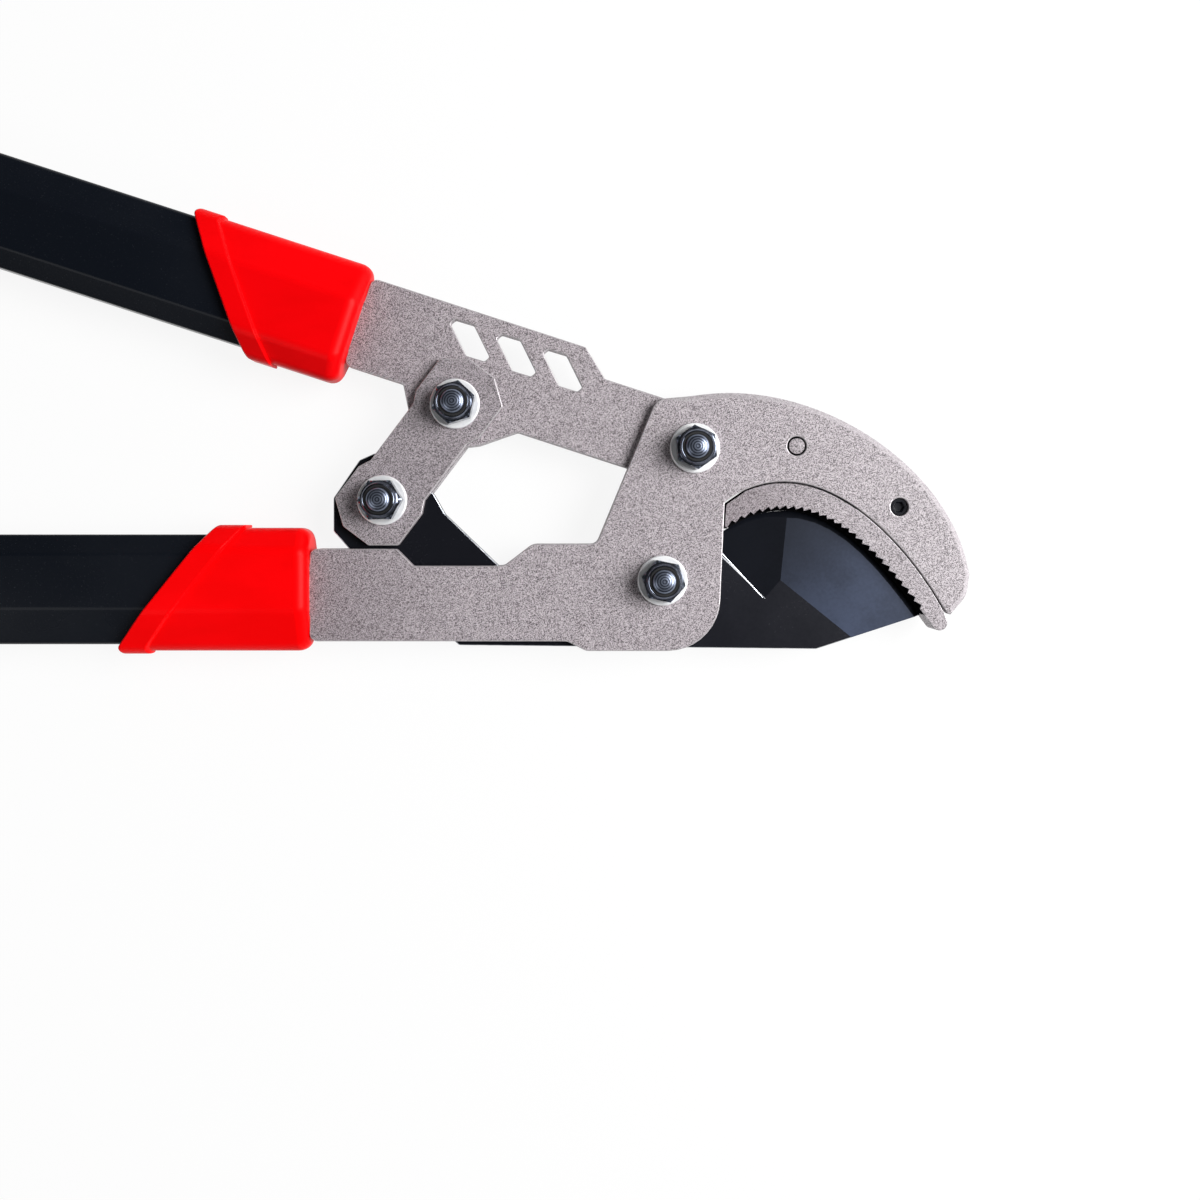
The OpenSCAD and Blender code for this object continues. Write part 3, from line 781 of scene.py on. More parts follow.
def welded(node: str) -> bmesh.types.BMesh:
    """A copy of a solid's mesh, welded and with its flat faces joined.

    Args:
        node: The solid's name.

    Returns:
        The copy.
    """
    work = bmesh.new()
    work.from_mesh(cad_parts[node].data)
    bmesh.ops.remove_doubles(work, verts=work.verts, dist=WELD)
    angle = math.radians(FLAT_ANGLE)
    bmesh.ops.dissolve_limit(work, angle_limit=angle, verts=work.verts, edges=work.edges)
    return work


def bevel(work: bmesh.types.BMesh, edges: list[bmesh.types.BMEdge], width: float, segments: int,
          index: int = 0) -> None:
    """Rounds edges of a bmesh.

    Args:
        work: The bmesh.
        edges: The edges to round.
        width: How far the rounding reaches, in metres.
        segments: Faces across the rounding.
        index: Material index of the rounding.
    """
    bmesh.ops.bevel(work, geom=edges, offset=width, offset_type="OFFSET", segments=segments,
                    profile=0.5, affect="EDGES", clamp_overlap=False, material=index)


def rim_edges(work: bmesh.types.BMesh) -> list[bmesh.types.BMEdge]:
    """The edges between a flat plate's faces and its walls.

    Args:
        work: The plate.

    Returns:
        The edges.
    """
    found = []
    for edge in work.edges:
        if len(edge.link_faces) == 2:
            level = [abs(face.normal.z) > LEVEL for face in edge.link_faces]
            if level[0] != level[1] and edge.calc_face_angle() > math.radians(RIM_ANGLE):
                found.append(edge)
    return found


def loft(rings: list[list[Vector]], closed: bool, name: str) -> bpy.types.Mesh:
    """A skin over rings of points.

    Args:
        rings: Rings with the same number of points each.
        closed: Whether the last ring joins the first one; otherwise both ends are capped.
        name: The mesh's name.

    Returns:
        The mesh, in place and with its faces outward.
    """
    work = bmesh.new()
    skins = [[work.verts.new(point) for point in ring] for ring in rings]
    pairs = list(zip(skins, skins[1:]))
    if closed:
        pairs.append((skins[-1], skins[0]))
    for low, high in pairs:
        for i in range(len(low)):
            j = (i + 1) % len(low)
            work.faces.new((low[i], low[j], high[j], high[i]))
    if not closed:
        work.faces.new(skins[0])
        work.faces.new(skins[-1])
    bmesh.ops.remove_doubles(work, verts=work.verts, dist=WELD / 2)
    bmesh.ops.recalc_face_normals(work, faces=work.faces)
    return to_mesh(work, name)


def turned(profile: Sequence[Point], steps: int, name: str) -> bpy.types.Mesh:
    """A shape turned about the Z axis.

    Args:
        profile: Radius and height of each point, in millimetres. It is a loop unless it starts and
            ends on the axis.
        steps: Points round the axis.
        name: The mesh's name.

    Returns:
        The mesh, in metres.
    """
    angles = [math.tau * i / steps for i in range(steps)]
    rings = [[Vector((r * math.cos(a), r * math.sin(a), z)) * MM for a in angles] for r, z in profile]
    return loft(rings, profile[0][0] > 0, name)


def arc(centre: Point, radii: Point, start: float, end: float, count: int) -> list[Point]:
    """Points on an elliptic arc.

    Args:
        centre: Its middle.
        radii: Its two radii.
        start: First angle in degrees.
        end: Last angle in degrees.
        count: Steps between them.

    Returns:
        The points.
    """
    turns = [math.radians(start + (end - start) * i / count) for i in range(count + 1)]
    return [(centre[0] + radii[0] * math.cos(t), centre[1] + radii[1] * math.sin(t)) for t in turns]


def show(name: str, mesh: bpy.types.Mesh, materials: Sequence[bpy.types.Material], body: Body,
         nodes: Sequence[str]) -> bpy.types.Object:
    """Makes a finished mesh a piece that stands for solids.

    Args:
        name: The piece's name.
        mesh: Its mesh, in place.
        materials: Its materials, by face index, where the mesh has none yet.
        body: The body that it rides on.
        nodes: The solids that it stands for.

    Returns:
        The piece.
    """
    if not mesh.materials:
        for material in materials:
            mesh.materials.append(material)
    piece = new_object(name, mesh)
    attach(piece, body.value)
    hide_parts(*nodes)
    log.info("%s: %d faces on %s", name, len(mesh.polygons), body.value)
    return piece


def coat_node(node: str, material: bpy.types.Material) -> None:
    """Gives a solid that stays as it is a better material.

    Args:
        node: The solid's name.
        material: Its new material.
    """
    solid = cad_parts[node]
    for holder in solid.material_slots:
        holder.material = material
    if not solid.material_slots:
        solid.data.materials.append(material)
    log.info("%s: keeps its solid, in %s", node, material.name)


# Plates


@dataclass
class StampedPlate:
    """A stamped steel plate with rounded edges.

    Attributes:
        node: The solid that gives its outline.
        body: The body that it rides on.
        edge: Rounding of its edges, in metres.
        segments: Faces across that rounding.
    """

    node: str
    body: Body
    edge: float = 0.4 * MM
    segments: int = 3

    def shape(self) -> bmesh.types.BMesh:
        """Shapes the plate.

        Returns:
            The outline with its rims rounded.
        """
        work = welded(self.node)
        # The rounded rims take the finish with painted highlight.
        bevel(work, rim_edges(work), self.edge, self.segments, index=1)
        return work

    def build(self, coats: Sequence[bpy.types.Material]) -> bpy.types.Object:
        """Builds the plate.

        Args:
            coats: Finishes of its faces, of its rounded edges, which carry a painted highlight, and of what
                else it has.

        Returns:
            The piece.
        """
        mesh = smooth(to_mesh(self.shape(), f"{self.node}_look"), SHARP)
        return show(f"{self.node}_look", mesh, coats, self.body, [self.node])


@dataclass
class JawPlate(StampedPlate):
    """A jaw plate, whose hook is chamfered along its back, on the side away from the blade; the chamfer
    carries a painted highlight.

    Attributes:
        chamfer: Width of the chamfer, in metres.
        mouth: A point inside the hook that the back lies round, in metres.
        start: How far along the tool the back begins, in metres.
        fixings: Solids whose holes in the hook aren't part of its back.
        hole: What lies nearer than this to a hole's middle belongs to the hole, in metres.
        near: What lies nearer than this to the outer side is on it, in metres.
    """

    chamfer: float = 1.9 * MM
    mouth: Point = (45 * MM, -15 * MM)
    start: float = 6 * MM
    fixings: tuple[str, ...] = ("anvil_rivet", "anvil_screw", "handle_pivot_bolt")
    hole: float = 6 * MM
    near: float = 0.01 * MM

    def back_edges(self, work: bmesh.types.BMesh) -> list[bmesh.types.BMEdge]:
        """The rim edges along the hook's back, on the side away from the blade.

        Args:
            work: The plate.

        Returns:
            The edges.
        """
        holes = [sum(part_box(fixing), Vector((0, 0, 0))).xy / 2 for fixing in self.fixings]
        low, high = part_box(self.node)
        outside = high.z if low.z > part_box("blade")[0].z else low.z
        found = []
        for edge in rim_edges(work):
            wall = min(edge.link_faces, key=lambda face: abs(face.normal.z))
            middle = (edge.verts[0].co + edge.verts[1].co) / 2
            away = Vector((middle.x - self.mouth[0], middle.y - self.mouth[1], 0))
            on_hook = middle.x > self.start and middle.y > self.mouth[1] and wall.normal.dot(away) > 0
            on_side = abs(middle.z - outside) < self.near
            if on_hook and on_side and all((middle.xy - hole).length > self.hole for hole in holes):
                found.append(edge)
        return found

    def shape(self) -> bmesh.types.BMesh:
        """Shapes the plate.

        Returns:
            The outline with its rims rounded and its back chamfered, both in finishes with a painted
            highlight.
        """
        work = welded(self.node)
        back = set(self.back_edges(work))
        others = [edge for edge in rim_edges(work) if edge not in back]
        bevel(work, others, self.edge, self.segments, index=1)
        # The chamfer takes the finish with painted highlight.
        bevel(work, self.back_edges(work), self.chamfer, segments=1, index=2)
        return work


@dataclass
class Anvil(StampedPlate):
    """The anvil, with painted shade on its walls, a sheet of painted shade behind its teeth, and a painted
    highlight on its rims toward the end.

    Attributes:
        line: The curve through the teeth's tips, as four control points in millimetres.
        shade_sheet: How far the sheet of painted shade reaches ahead of the tips, back from them and up, in
            millimetres.
        shade_sheet_span: Shares of the curve at which the sheet starts and ends.
        shade_sheet_steps: Steps along the sheet.
        lit: Where along the tool the rims' painted highlight begins, in metres; rims before it get painted
            shade.
        wall_tilt: Most height of a unit normal on a wall.
    """

    edge: float = 0.2 * MM
    segments: int = 2
    line: tuple[Point, ...] = ((21.26, 17.19), (49.77, 36.3), (70.89, 12.58), (89.3, -11.75))
    shade_sheet: tuple[float, float, float] = (0.32, 1.9, 2)
    shade_sheet_span: Point = (0.02, 0.98)
    shade_sheet_steps: int = 48
    lit: float = 66 * MM
    wall_tilt: float = 0.1

    def on_line(self, share: float, back: float) -> Vector:
        """A point on the teeth's curve.

        Args:
            share: How far along the curve.
            back: How far behind the tips, in millimetres.

        Returns:
            The point in millimetres.
        """
        a, b, c, d = (Vector(point) for point in self.line)
        rest = 1 - share
        point = a * rest ** 3 + b * 3 * rest ** 2 * share + c * 3 * rest * share ** 2 + d * share ** 3
        run = (b - a) * rest ** 2 + (c - b) * 2 * rest * share + (d - c) * share ** 2
        run.normalize()
        return point + Vector((-run.y, run.x)) * back

    def strip(self) -> bpy.types.Mesh:
        """The sheet of painted shade behind the teeth.

        Returns:
            A strip along the teeth's curve, in metres.
        """
        low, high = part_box(self.node)
        middle = (low.z + high.z) / 2 / MM
        ahead, back, half = self.shade_sheet
        start, end = self.shade_sheet_span
        rings = []
        for i in range(self.shade_sheet_steps + 1):
            share = start + (end - start) * i / self.shade_sheet_steps
            near = self.on_line(share, -ahead)
            far = self.on_line(share, back)
            corners = [(near, -half), (far, -half), (far, half), (near, half)]
            rings.append([Vector((p.x, p.y, middle + z)) * MM for p, z in corners])
        return loft(rings, False, "anvil_land")

    def shape(self) -> bmesh.types.BMesh:
        """Shapes the anvil.

        Returns:
            The toothed outline, with painted shade on its walls and near rims and a painted highlight on its
            far rims, joined by the sheet of painted shade behind the teeth.
        """
        # Painted shade and painted highlight: the indices of the dark and the bright finish.
        dark, bright = 1, 2
        work = welded(self.node)
        bevel(work, rim_edges(work), self.edge, self.segments, bright)
        for face in work.faces:
            middle = face.calc_center_median()
            wall = abs(face.normal.z) < self.wall_tilt and middle.y > self.line[-1][1] * MM
            if wall or (face.material_index == bright and middle.x < self.lit):
                face.material_index = dark
        # A near-black sheet of painted shade behind the teeth.
        strip = self.strip()
        before = set(work.faces)
        work.from_mesh(strip)
        bpy.data.meshes.remove(strip)
        for face in work.faces:
            if face not in before:
                face.material_index = dark
        return work


@dataclass
class Blade:
    """The blade, with a ground facet at the throat, another toward the tip and a ground edge; painted shade
    darkens the facet at the throat and the edge, and a painted highlight lightens the facet toward the tip.

    Attributes:
        edge: Rounding of its back and tail, in metres.
        half: Half its thickness, in metres.
        tip_tilt: Least height of a unit normal on the facet toward the tip.
        flat_tilt: Least height of a unit normal on the flat.
        grind_tilt: Least height of a unit normal on the ground edge and the facet at the throat.
        sharp: Edges above this angle stay sharp, in degrees.
    """

    edge: float = 0.3 * MM
    half: float = 2 * MM
    tip_tilt: float = 0.9987
    flat_tilt: float = 0.9997
    grind_tilt: float = 0.8
    sharp: float = 1.2

    def build(self, coats: Sequence[bpy.types.Material]) -> bpy.types.Object:
        """Builds the blade.

        Args:
            coats: Finishes of the flat, the facet toward the tip, the ground faces darkened by painted shade,
                and the rims.

        Returns:
            The piece.
        """
        # The facet toward the tip takes the finish with painted highlight; the other ground faces take
        # painted shade.
        tip, ground, rim = 1, 2, 3
        work = welded("blade")
        low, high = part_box("blade")
        middle = (low.z + high.z) / 2
        for face in work.faces:
            tilt = abs(face.normal.z)
            if self.tip_tilt < tilt < self.flat_tilt:
                face.material_index = tip
            elif self.grind_tilt < tilt <= self.tip_tilt:
                face.material_index = ground
        back = [edge for edge in rim_edges(work)
                if all(abs(abs(v.co.z - middle) - self.half) < WELD for v in edge.verts)]
        bevel(work, back, self.edge, segments=2, index=rim)
        mesh = smooth(to_mesh(work, "blade_look"), self.sharp)
        return show("blade_look", mesh, coats, Body.BLADE, ["blade"])


@dataclass
class HookFixings:
    """The rivet and the screw through the hook.

    Attributes:
        gap: Width of the groove round the rivet's head, in millimetres.
        groove: Depth of that groove, in millimetres.
        crown: Height of the head's crown, in millimetres.
        shade_from: Faces deeper than this many crowns are in the groove and get painted shade.
        steps: Points round the rivet.
        screw_edge: Rounding of the screw's rims, in metres.
    """

    gap: float = 0.5
    groove: float = 1.1
    crown: float = 0.14
    shade_from: float = 1.9
    steps: int = 48
    screw_edge: float = 0.3 * MM

    def rivet(self) -> bpy.types.Mesh:
        """Shapes the rivet.

        Returns:
            The rivet with a crowned head in a dark groove.
        """
        low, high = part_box("anvil_rivet")
        radius = (high.x - low.x) / 2 / MM
        half = (high.z - low.z) / 2 / MM
        head = radius - self.gap
        upper = [(radius, half - self.groove), (head, half - self.groove), (head, half - 2 * self.crown)]
        upper += [(head - self.crown, half - self.crown), (head / 2, half - self.crown / 4), (0, half)]
        profile = [(r, -z) for r, z in reversed(upper)] + upper
        mesh = turned(profile, self.steps, "anvil_rivet_look")
        mesh.transform(Matrix.Translation((low + high) / 2))
        middle = (low.z + high.z) / 2
        for face in mesh.polygons:
            # Painted shade: faces deep in the groove take the near-black finish.
            deep = abs(face.center.z - middle) < (half - self.shade_from * self.crown) * MM
            face.material_index = 1 if deep else 0
        return mesh

    def build(self, coat: bpy.types.Material, dark: bpy.types.Material, black: bpy.types.Material) -> None:
        """Builds the rivet and the screw.

        Args:
            coat: The rivet's finish, a copy of the coat darkened by painted shade.
            dark: The painted shade in the rivet's groove.
            black: The screw's finish.
        """
        mesh = smooth(self.rivet(), SHARP)
        show("anvil_rivet_look", mesh, [coat, dark], Body.JAW, ["anvil_rivet"])
        work = welded("anvil_screw")
        bevel(work, rim_edges(work), self.screw_edge, segments=2)
        mesh = smooth(to_mesh(work, "anvil_screw_look"), SHARP)
        show("anvil_screw_look", mesh, [black], Body.JAW, ["anvil_screw"])


# Handles


@dataclass(frozen=True)
class HandleFrame:
    """Where a handle lies.

    Attributes:
        body: The body that its pieces ride on.
        prefix: First word of its solids' names.
        origin: Middle of the collar's front face, in millimetres.
        along: Direction away from the head, in degrees.
        outward: Turn from there to the outer side, in degrees.
    """

    body: Body
    prefix: str
    origin: tuple[float, float, float]
    along: float
    outward: float

    def at(self, u: float, v: float, w: float) -> Vector:
        """A point of the handle in the shared frame.

        Args:
            u: Distance along the handle, in millimetres.
            v: Distance to the outer side.
            w: Height above the middle.

        Returns:
            The point in metres.
        """
        a = math.radians(self.along)
        b = math.radians(self.along + self.outward)
        x = self.origin[0] + u * math.cos(a) + v * math.cos(b)
        y = self.origin[1] + u * math.sin(a) + v * math.sin(b)
        return Vector((x, y, self.origin[2] + w)) * MM


@dataclass(frozen=True)
class TubeSection:
    """The tube's eight-sided section.

    Attributes:
        half_height: Half its height, in millimetres.
        half_width: Half its thickness, in millimetres.
        corners: Shares of both for the upper corners from the outer side, and each corner's radius.
        steps: Steps round each corner.
        most_cut: Most of a side that a corner may take.
    """

    half_height: float = 18.8
    half_width: float = 8.5
    corners: tuple[tuple[float, float, float], ...] = (
        (1, 0.42, 2.1), (0.33, 1, 3.4), (-0.65, 1, 2.4), (-1, 0.5, 1.3))
    steps: int = 7
    most_cut: float = 0.46

    def ring(self, grow: float, soften: float = 0.0) -> list[Point]:
        """The section grown by a wall.

        Args:
            grow: The wall, in millimetres.
            soften: What is added to each corner's radius, in millimetres.

        Returns:
            Points round the section: outward distance and height.
        """
        h = self.half_height + grow
        t = self.half_width + grow
        upper = [(v * h, w * t, r + soften) for v, w, r in self.corners]
        path = upper + [(v, -w, r) for v, w, r in reversed(upper)]
        points = []
        for i, (v, w, r) in enumerate(path):
            here = Vector((v, w))
            before = Vector(path[i - 1][:2]) - here
            after = Vector(path[(i + 1) % len(path)][:2]) - here
            half = before.angle(after) / 2
            cut = min(r / math.tan(half), self.most_cut * min(before.length, after.length))
            before.normalize()
            after.normalize()
            middle = here + (before + after).normalized() * (cut / math.cos(half))
            start = here + before * cut - middle
            sweep = start.angle_signed(here + after * cut - middle)
            for k in range(self.steps + 1):
                turn = -sweep * k / self.steps
                x = start.x * math.cos(turn) - start.y * math.sin(turn)
                y = start.x * math.sin(turn) + start.y * math.cos(turn)
                points.append((middle.x + x, middle.y + y))
        return points


@dataclass
class Handle:
    """A collar, tube, grip and end cap on one handle, in millimetres.

    Attributes:
        place: Where the handle lies.
        section: The tube's section.
        slot: Half height and half thickness of the slot that the plates enter by.
        tube_stations: Steps along the tube.
        fit: Play between the tube and what sits on it.
        collar_face: Thickness of the collar's front.
        collar_inner: Its length on the inner side.
        collar_outer: Its length on the outer side.
        corner_bend: How much its slanted end bends toward the head past the tube's outer side.
        band_front: Points across the band's front: distance ahead of its line and share of its height.
        rear_round: Rounding of the collar's rear edge.
        rear_lip: Chamfer inside that edge.
        front_round: Length and depth of the rounding of the collar's front.
        collar_soft: What is added to the section's corner radii in the collar.
        grip_soft: What is added to them in the grip.
        grip_lip: Height of the grip's front end above the tube.
        grip_round: Rounding of its rear end.
        rib_sink: How deep a rib stands in the grip.
        sharp: Edges above this angle stay sharp, in degrees.
        cap_angle: Edges of the cap above this angle are rounded, in degrees.
        cap_edge: Their rounding, in metres.
    """

    place: HandleFrame
    section: TubeSection
    slot: Point
    tube_length: float = 505
    tube_wall: float = 1.5
    tube_stations: int = 24
    fit: float = 0.05
    collar_wall: float = 2.3
    collar_face: float = 3
    collar_inner: float = 34.2
    collar_outer: float = 64.6
    corner_bend: float = 0.25
    band_width: float = 10
    band_height: float = 1
    band_front: tuple[Point, ...] = (
        (0.7, 0), (0.3, 0.02), (0.05, 0.2), (-0.25, 0.75), (-0.55, 0.96), (-1.0, 1))
    rear_round: float = 0.9
    rear_lip: float = 0.3
    front_round: Point = (4.4, 3.4)
    collar_soft: float = 3.5
    grip_length: float = 150
    grip_wall: float = 2.4
    grip_soft: float = 1.0
    grip_lip: float = 0.4
    grip_round: float = 1
    rib_pitch: float = 9
    rib_width: float = 4.5
    rib_height: float = 0.9
    rib_sink: float = 0.6
    sharp: float = 50
    cap_angle: float = 50
    cap_edge: float = 0.8 * MM

    def ring(self, grow: float, along: "float | Callable[[float], float]",
             soften: float = 0.0) -> list[Vector]:
        """One ring of the section.

        Args:
            grow: Wall that the section is grown by.
            along: Distance along the handle, or a rule that gives it from the outward distance.
            soften: What is added to each corner's radius.

        Returns:
            The ring in the shared frame.
        """
        rule = along if callable(along) else lambda v: along
        return [self.place.at(rule(v), v, w) for v, w in self.section.ring(grow, soften)]

    def slot_ring(self, along: float) -> list[Vector]:
        """The slot's edge with as many points as the section has.

        Args:
            along: Distance along the handle.

        Returns:
            The ring in the shared frame.
        """
        least = 0.001
        points = []
        for v, w in self.section.ring(0):
            size = min(self.slot[0] / max(abs(v), least), self.slot[1] / max(abs(w), least))
            points.append(self.place.at(along, v * size, w * size))
        return points

    def slant(self, short: float) -> Callable[[float], float]:
        """The slanted line at the collar's rear.

        Args:
            short: How far in front of the rear edge it runs.

        Returns:
            A rule from the outward distance to the distance along the handle.
        """
        half = self.section.half_height
        lean = (self.collar_outer - self.collar_inner) / (2 * half)
        middle = (self.collar_outer + self.collar_inner) / 2 - short
        return lambda v: middle + lean * v - self.corner_bend * max(0, v - half) ** 2

    def collar(self) -> bpy.types.Mesh:
        """Shapes the collar.

        Returns:
            A shell with a rounded front, a raised band at its slanted rear and a slot for the plates.
        """
        wall = self.collar_wall
        top = wall + self.band_height
        long, deep = self.front_round
        rear = self.rear_round
        rings = [self.slot_ring(self.collar_face), self.slot_ring(0)]
        for u, g in arc((long, wall - deep), (-long, deep), 0, 90, count=7):
            rings.append(self.ring(g, u, self.collar_soft))
        for ahead, rise in self.band_front:
            line = self.slant(self.band_width + ahead)
            rings.append(self.ring(wall + rise * self.band_height, line, self.collar_soft))
        for u, g in arc((0, top - rear), (rear, rear), 90, 0, count=4):
            rings.append(self.ring(g, self.slant(rear - u), self.collar_soft))
        rings.append(self.ring(self.fit + self.rear_lip, self.slant(0)))
        rings.append(self.ring(self.fit, self.slant(self.rear_lip)))
        rings.append(self.ring(self.fit, self.collar_face))
        return loft(rings, True, f"{self.place.prefix}_collar_look")

    def tube(self) -> bpy.types.Mesh:
        """Shapes the tube.

        Returns:
            A drawn tube, open at both ends.
        """
        start = self.collar_face + self.fit
        steps = self.tube_stations
        stations = [start + (self.tube_length - start) * i / steps for i in range(steps + 1)]
        rings = [self.ring(0, u) for u in stations]
        rings += [self.ring(-self.tube_wall, u) for u in reversed(stations)]
        return loft(rings, True, f"{self.place.prefix}_tube_look")

    def sleeve(self) -> bpy.types.Mesh:
        """Shapes the grip without its ribs.

        Returns:
            A plain sleeve, rounded at both ends.
        """
        start = self.tube_length - self.grip_length
        wall, lip, end = self.grip_wall, self.grip_lip, self.grip_round
        rings = [self.ring(self.fit, self.tube_length), self.ring(self.fit, start)]
        for u, g in arc((start + wall, lip), (-wall, wall - lip), 0, 90, count=6):
            rings.append(self.ring(g, u, self.grip_soft))
        for u, g in arc((self.tube_length - end, wall - end), (end, end), 90, 0, count=4):
            rings.append(self.ring(g, u, self.grip_soft))
        return loft(rings, True, f"{self.place.prefix}_sleeve")

    def rib(self) -> bpy.types.Mesh:
        """Shapes the grip's first rib.

        Returns:
            A rib with a rounded crown.
        """
        middle = self.tube_length - self.grip_length + self.rib_pitch
        low = self.grip_wall - self.rib_sink
        half = self.rib_width / 2
        rings = []
        for u, g in arc((middle, self.grip_wall), (half, self.rib_height), 0, 180, count=10):
            rings.append(self.ring(g, u, self.grip_soft))
        rings.append(self.ring(low, middle - half, self.grip_soft))
        rings.append(self.ring(low, middle + half, self.grip_soft))
        return loft(rings, True, f"{self.place.prefix}_rib")

    def grip(self, rubber: bpy.types.Material) -> bpy.types.Mesh:
        """The sleeve with its row of ribs.

        Args:
            rubber: The grip's finish.

        Returns:
            The mesh.
        """
        step = self.place.at(self.rib_pitch, 0, 0) - self.place.at(0, 0, 0)
        count = int(self.grip_length / self.rib_pitch) - 1
        row = RibRow(rubber)
        return row.build(self.sleeve(), self.rib(), count, step)

    def cap(self) -> bpy.types.Mesh:
        """Shapes the end cap.

        Returns:
            The cap with its edges rounded.
        """
        work = welded(f"{self.place.prefix}_end_cap")
        least = math.radians(self.cap_angle)
        sharp = [edge for edge in work.edges if len(edge.link_faces) == 2 and edge.calc_face_angle() > least]
        bevel(work, sharp, self.cap_edge, segments=3)
        return to_mesh(work, f"{self.place.prefix}_end_cap_look")

    def build(self, red: bpy.types.Material, paint: bpy.types.Material, rubber: bpy.types.Material,
              plastic: bpy.types.Material) -> None:
        """Builds the handle's pieces.

        Args:
            red: The collar's finish.
            paint: The tube's finish.
            rubber: The grip's finish.
            plastic: The end cap's finish.
        """
        body = self.place.body
        name = self.place.prefix
        mesh = smooth(self.collar(), self.sharp)
        show(f"{name}_collar_look", mesh, [red], body, [f"{name}_collar"])
        mesh = smooth(self.tube(), self.sharp)
        show(f"{name}_tube_look", mesh, [paint], body, [f"{name}_tube"])
        mesh = smooth(self.grip(rubber), self.sharp)
        show(f"{name}_grip_look", mesh, [rubber], body, [f"{name}_grip"])
        mesh = smooth(self.cap(), SHARP)
        show(f"{name}_end_cap_look", mesh, [plastic], body, [f"{name}_end_cap"])


# Geometry Nodes


class Repeat:
    """A Geometry Nodes tree with named inputs that repeats a template and ends in one material."""

    def __init__(self, name: str, inputs: Sequence[tuple[str, str]]) -> None:
        """Starts the tree.

        Args:
            name: The tree's name.
            inputs: Name and socket type of each input after the geometry.
        """
        self.tree = bpy.data.node_groups.new(name, "GeometryNodeTree")
        self.nodes = Nodes(self.tree)
        sides = self.tree.interface
        sides.new_socket(name="Geometry", in_out="INPUT", socket_type="NodeSocketGeometry")
        for label, kind in inputs:
            sides.new_socket(name=label, in_out="INPUT", socket_type=kind)
        sides.new_socket(name="Geometry", in_out="OUTPUT", socket_type="NodeSocketGeometry")
        self.start = self.nodes.add("NodeGroupInput", {}, {}).socket.node

    def given(self, label: str) -> Field:
        """One of the tree's inputs."""
        return Field(self.nodes, Nodes.find(self.start.outputs, label))

    def end(self, geometry: Field) -> None:
        """Makes instances real, sets the material and ends the tree.

        Args:
            geometry: What the tree has built.
        """
        real = self.nodes.add("GeometryNodeRealizeInstances", {}, {0: geometry})
        inputs = {"Geometry": real, "Material": self.given("Material")}
        coated = self.nodes.add("GeometryNodeSetMaterial", {}, inputs)
        self.nodes.add("NodeGroupOutput", {}, {0: coated})

    def run(self, base: bpy.types.Mesh, values: dict[str, Setting]) -> bpy.types.Mesh:
        """Runs the tree.

        Args:
            base: The mesh that goes into it.
            values: A value for each named input.

        Returns:
            The plain mesh that comes out.
        """
        holder = new_object("repeat_base", base)
        modifier = holder.modifiers.new("repeat", "NODES")
        modifier.node_group = self.tree
        for item in self.tree.interface.items_tree:
            if item.in_out == "INPUT" and item.name in values:
                modifier[item.identifier] = values[item.name]
        result = evaluated(holder)
        holder.modifiers.remove(modifier)
        bpy.data.objects.remove(holder)
        return result


class RibRow:
    """A row of equal ribs along a sleeve."""

    def __init__(self, rubber: bpy.types.Material) -> None:
        """Builds the tree.

        Args:
            rubber: The finish of sleeve and ribs.
        """
        self.rubber = rubber
        inputs = [("Rib", "NodeSocketObject"), ("Count", "NodeSocketInt"), ("Step", "NodeSocketVector")]
        self.tree = Repeat("rib_row", inputs + [("Material", "NodeSocketMaterial")])
        nodes = self.tree.nodes
        rib = nodes.add("GeometryNodeObjectInfo", {}, {"Object": self.tree.given("Rib")}, "Geometry")
        line = nodes.add("GeometryNodeMeshLine", {"mode": "OFFSET"},
                         {"Count": self.tree.given("Count"), "Offset": self.tree.given("Step")})
        ribs = nodes.add("GeometryNodeInstanceOnPoints", {}, {"Points": line, "Instance": rib})
        joined = nodes.add("GeometryNodeJoinGeometry", {}, {0: self.tree.given("Geometry")})
        nodes.tree.links.new(ribs.socket, joined.socket.node.inputs[0])
        self.tree.end(joined)

    def build(self, sleeve: bpy.types.Mesh, rib: bpy.types.Mesh, count: int, step: Vector) -> bpy.types.Mesh:
        """Puts the ribs on a sleeve.

        Args:
            sleeve: The plain sleeve.
            rib: The first rib, in place.
            count: How many ribs there are.
            step: From one rib to the next, in metres.

        Returns:
            The ribbed sleeve.
        """
        template = new_object("rib_template", rib)
        values = {"Rib": template, "Count": count, "Step": step, "Material": self.rubber}
        made = self.tree.run(sleeve, values)
        bpy.data.objects.remove(template)
        return made


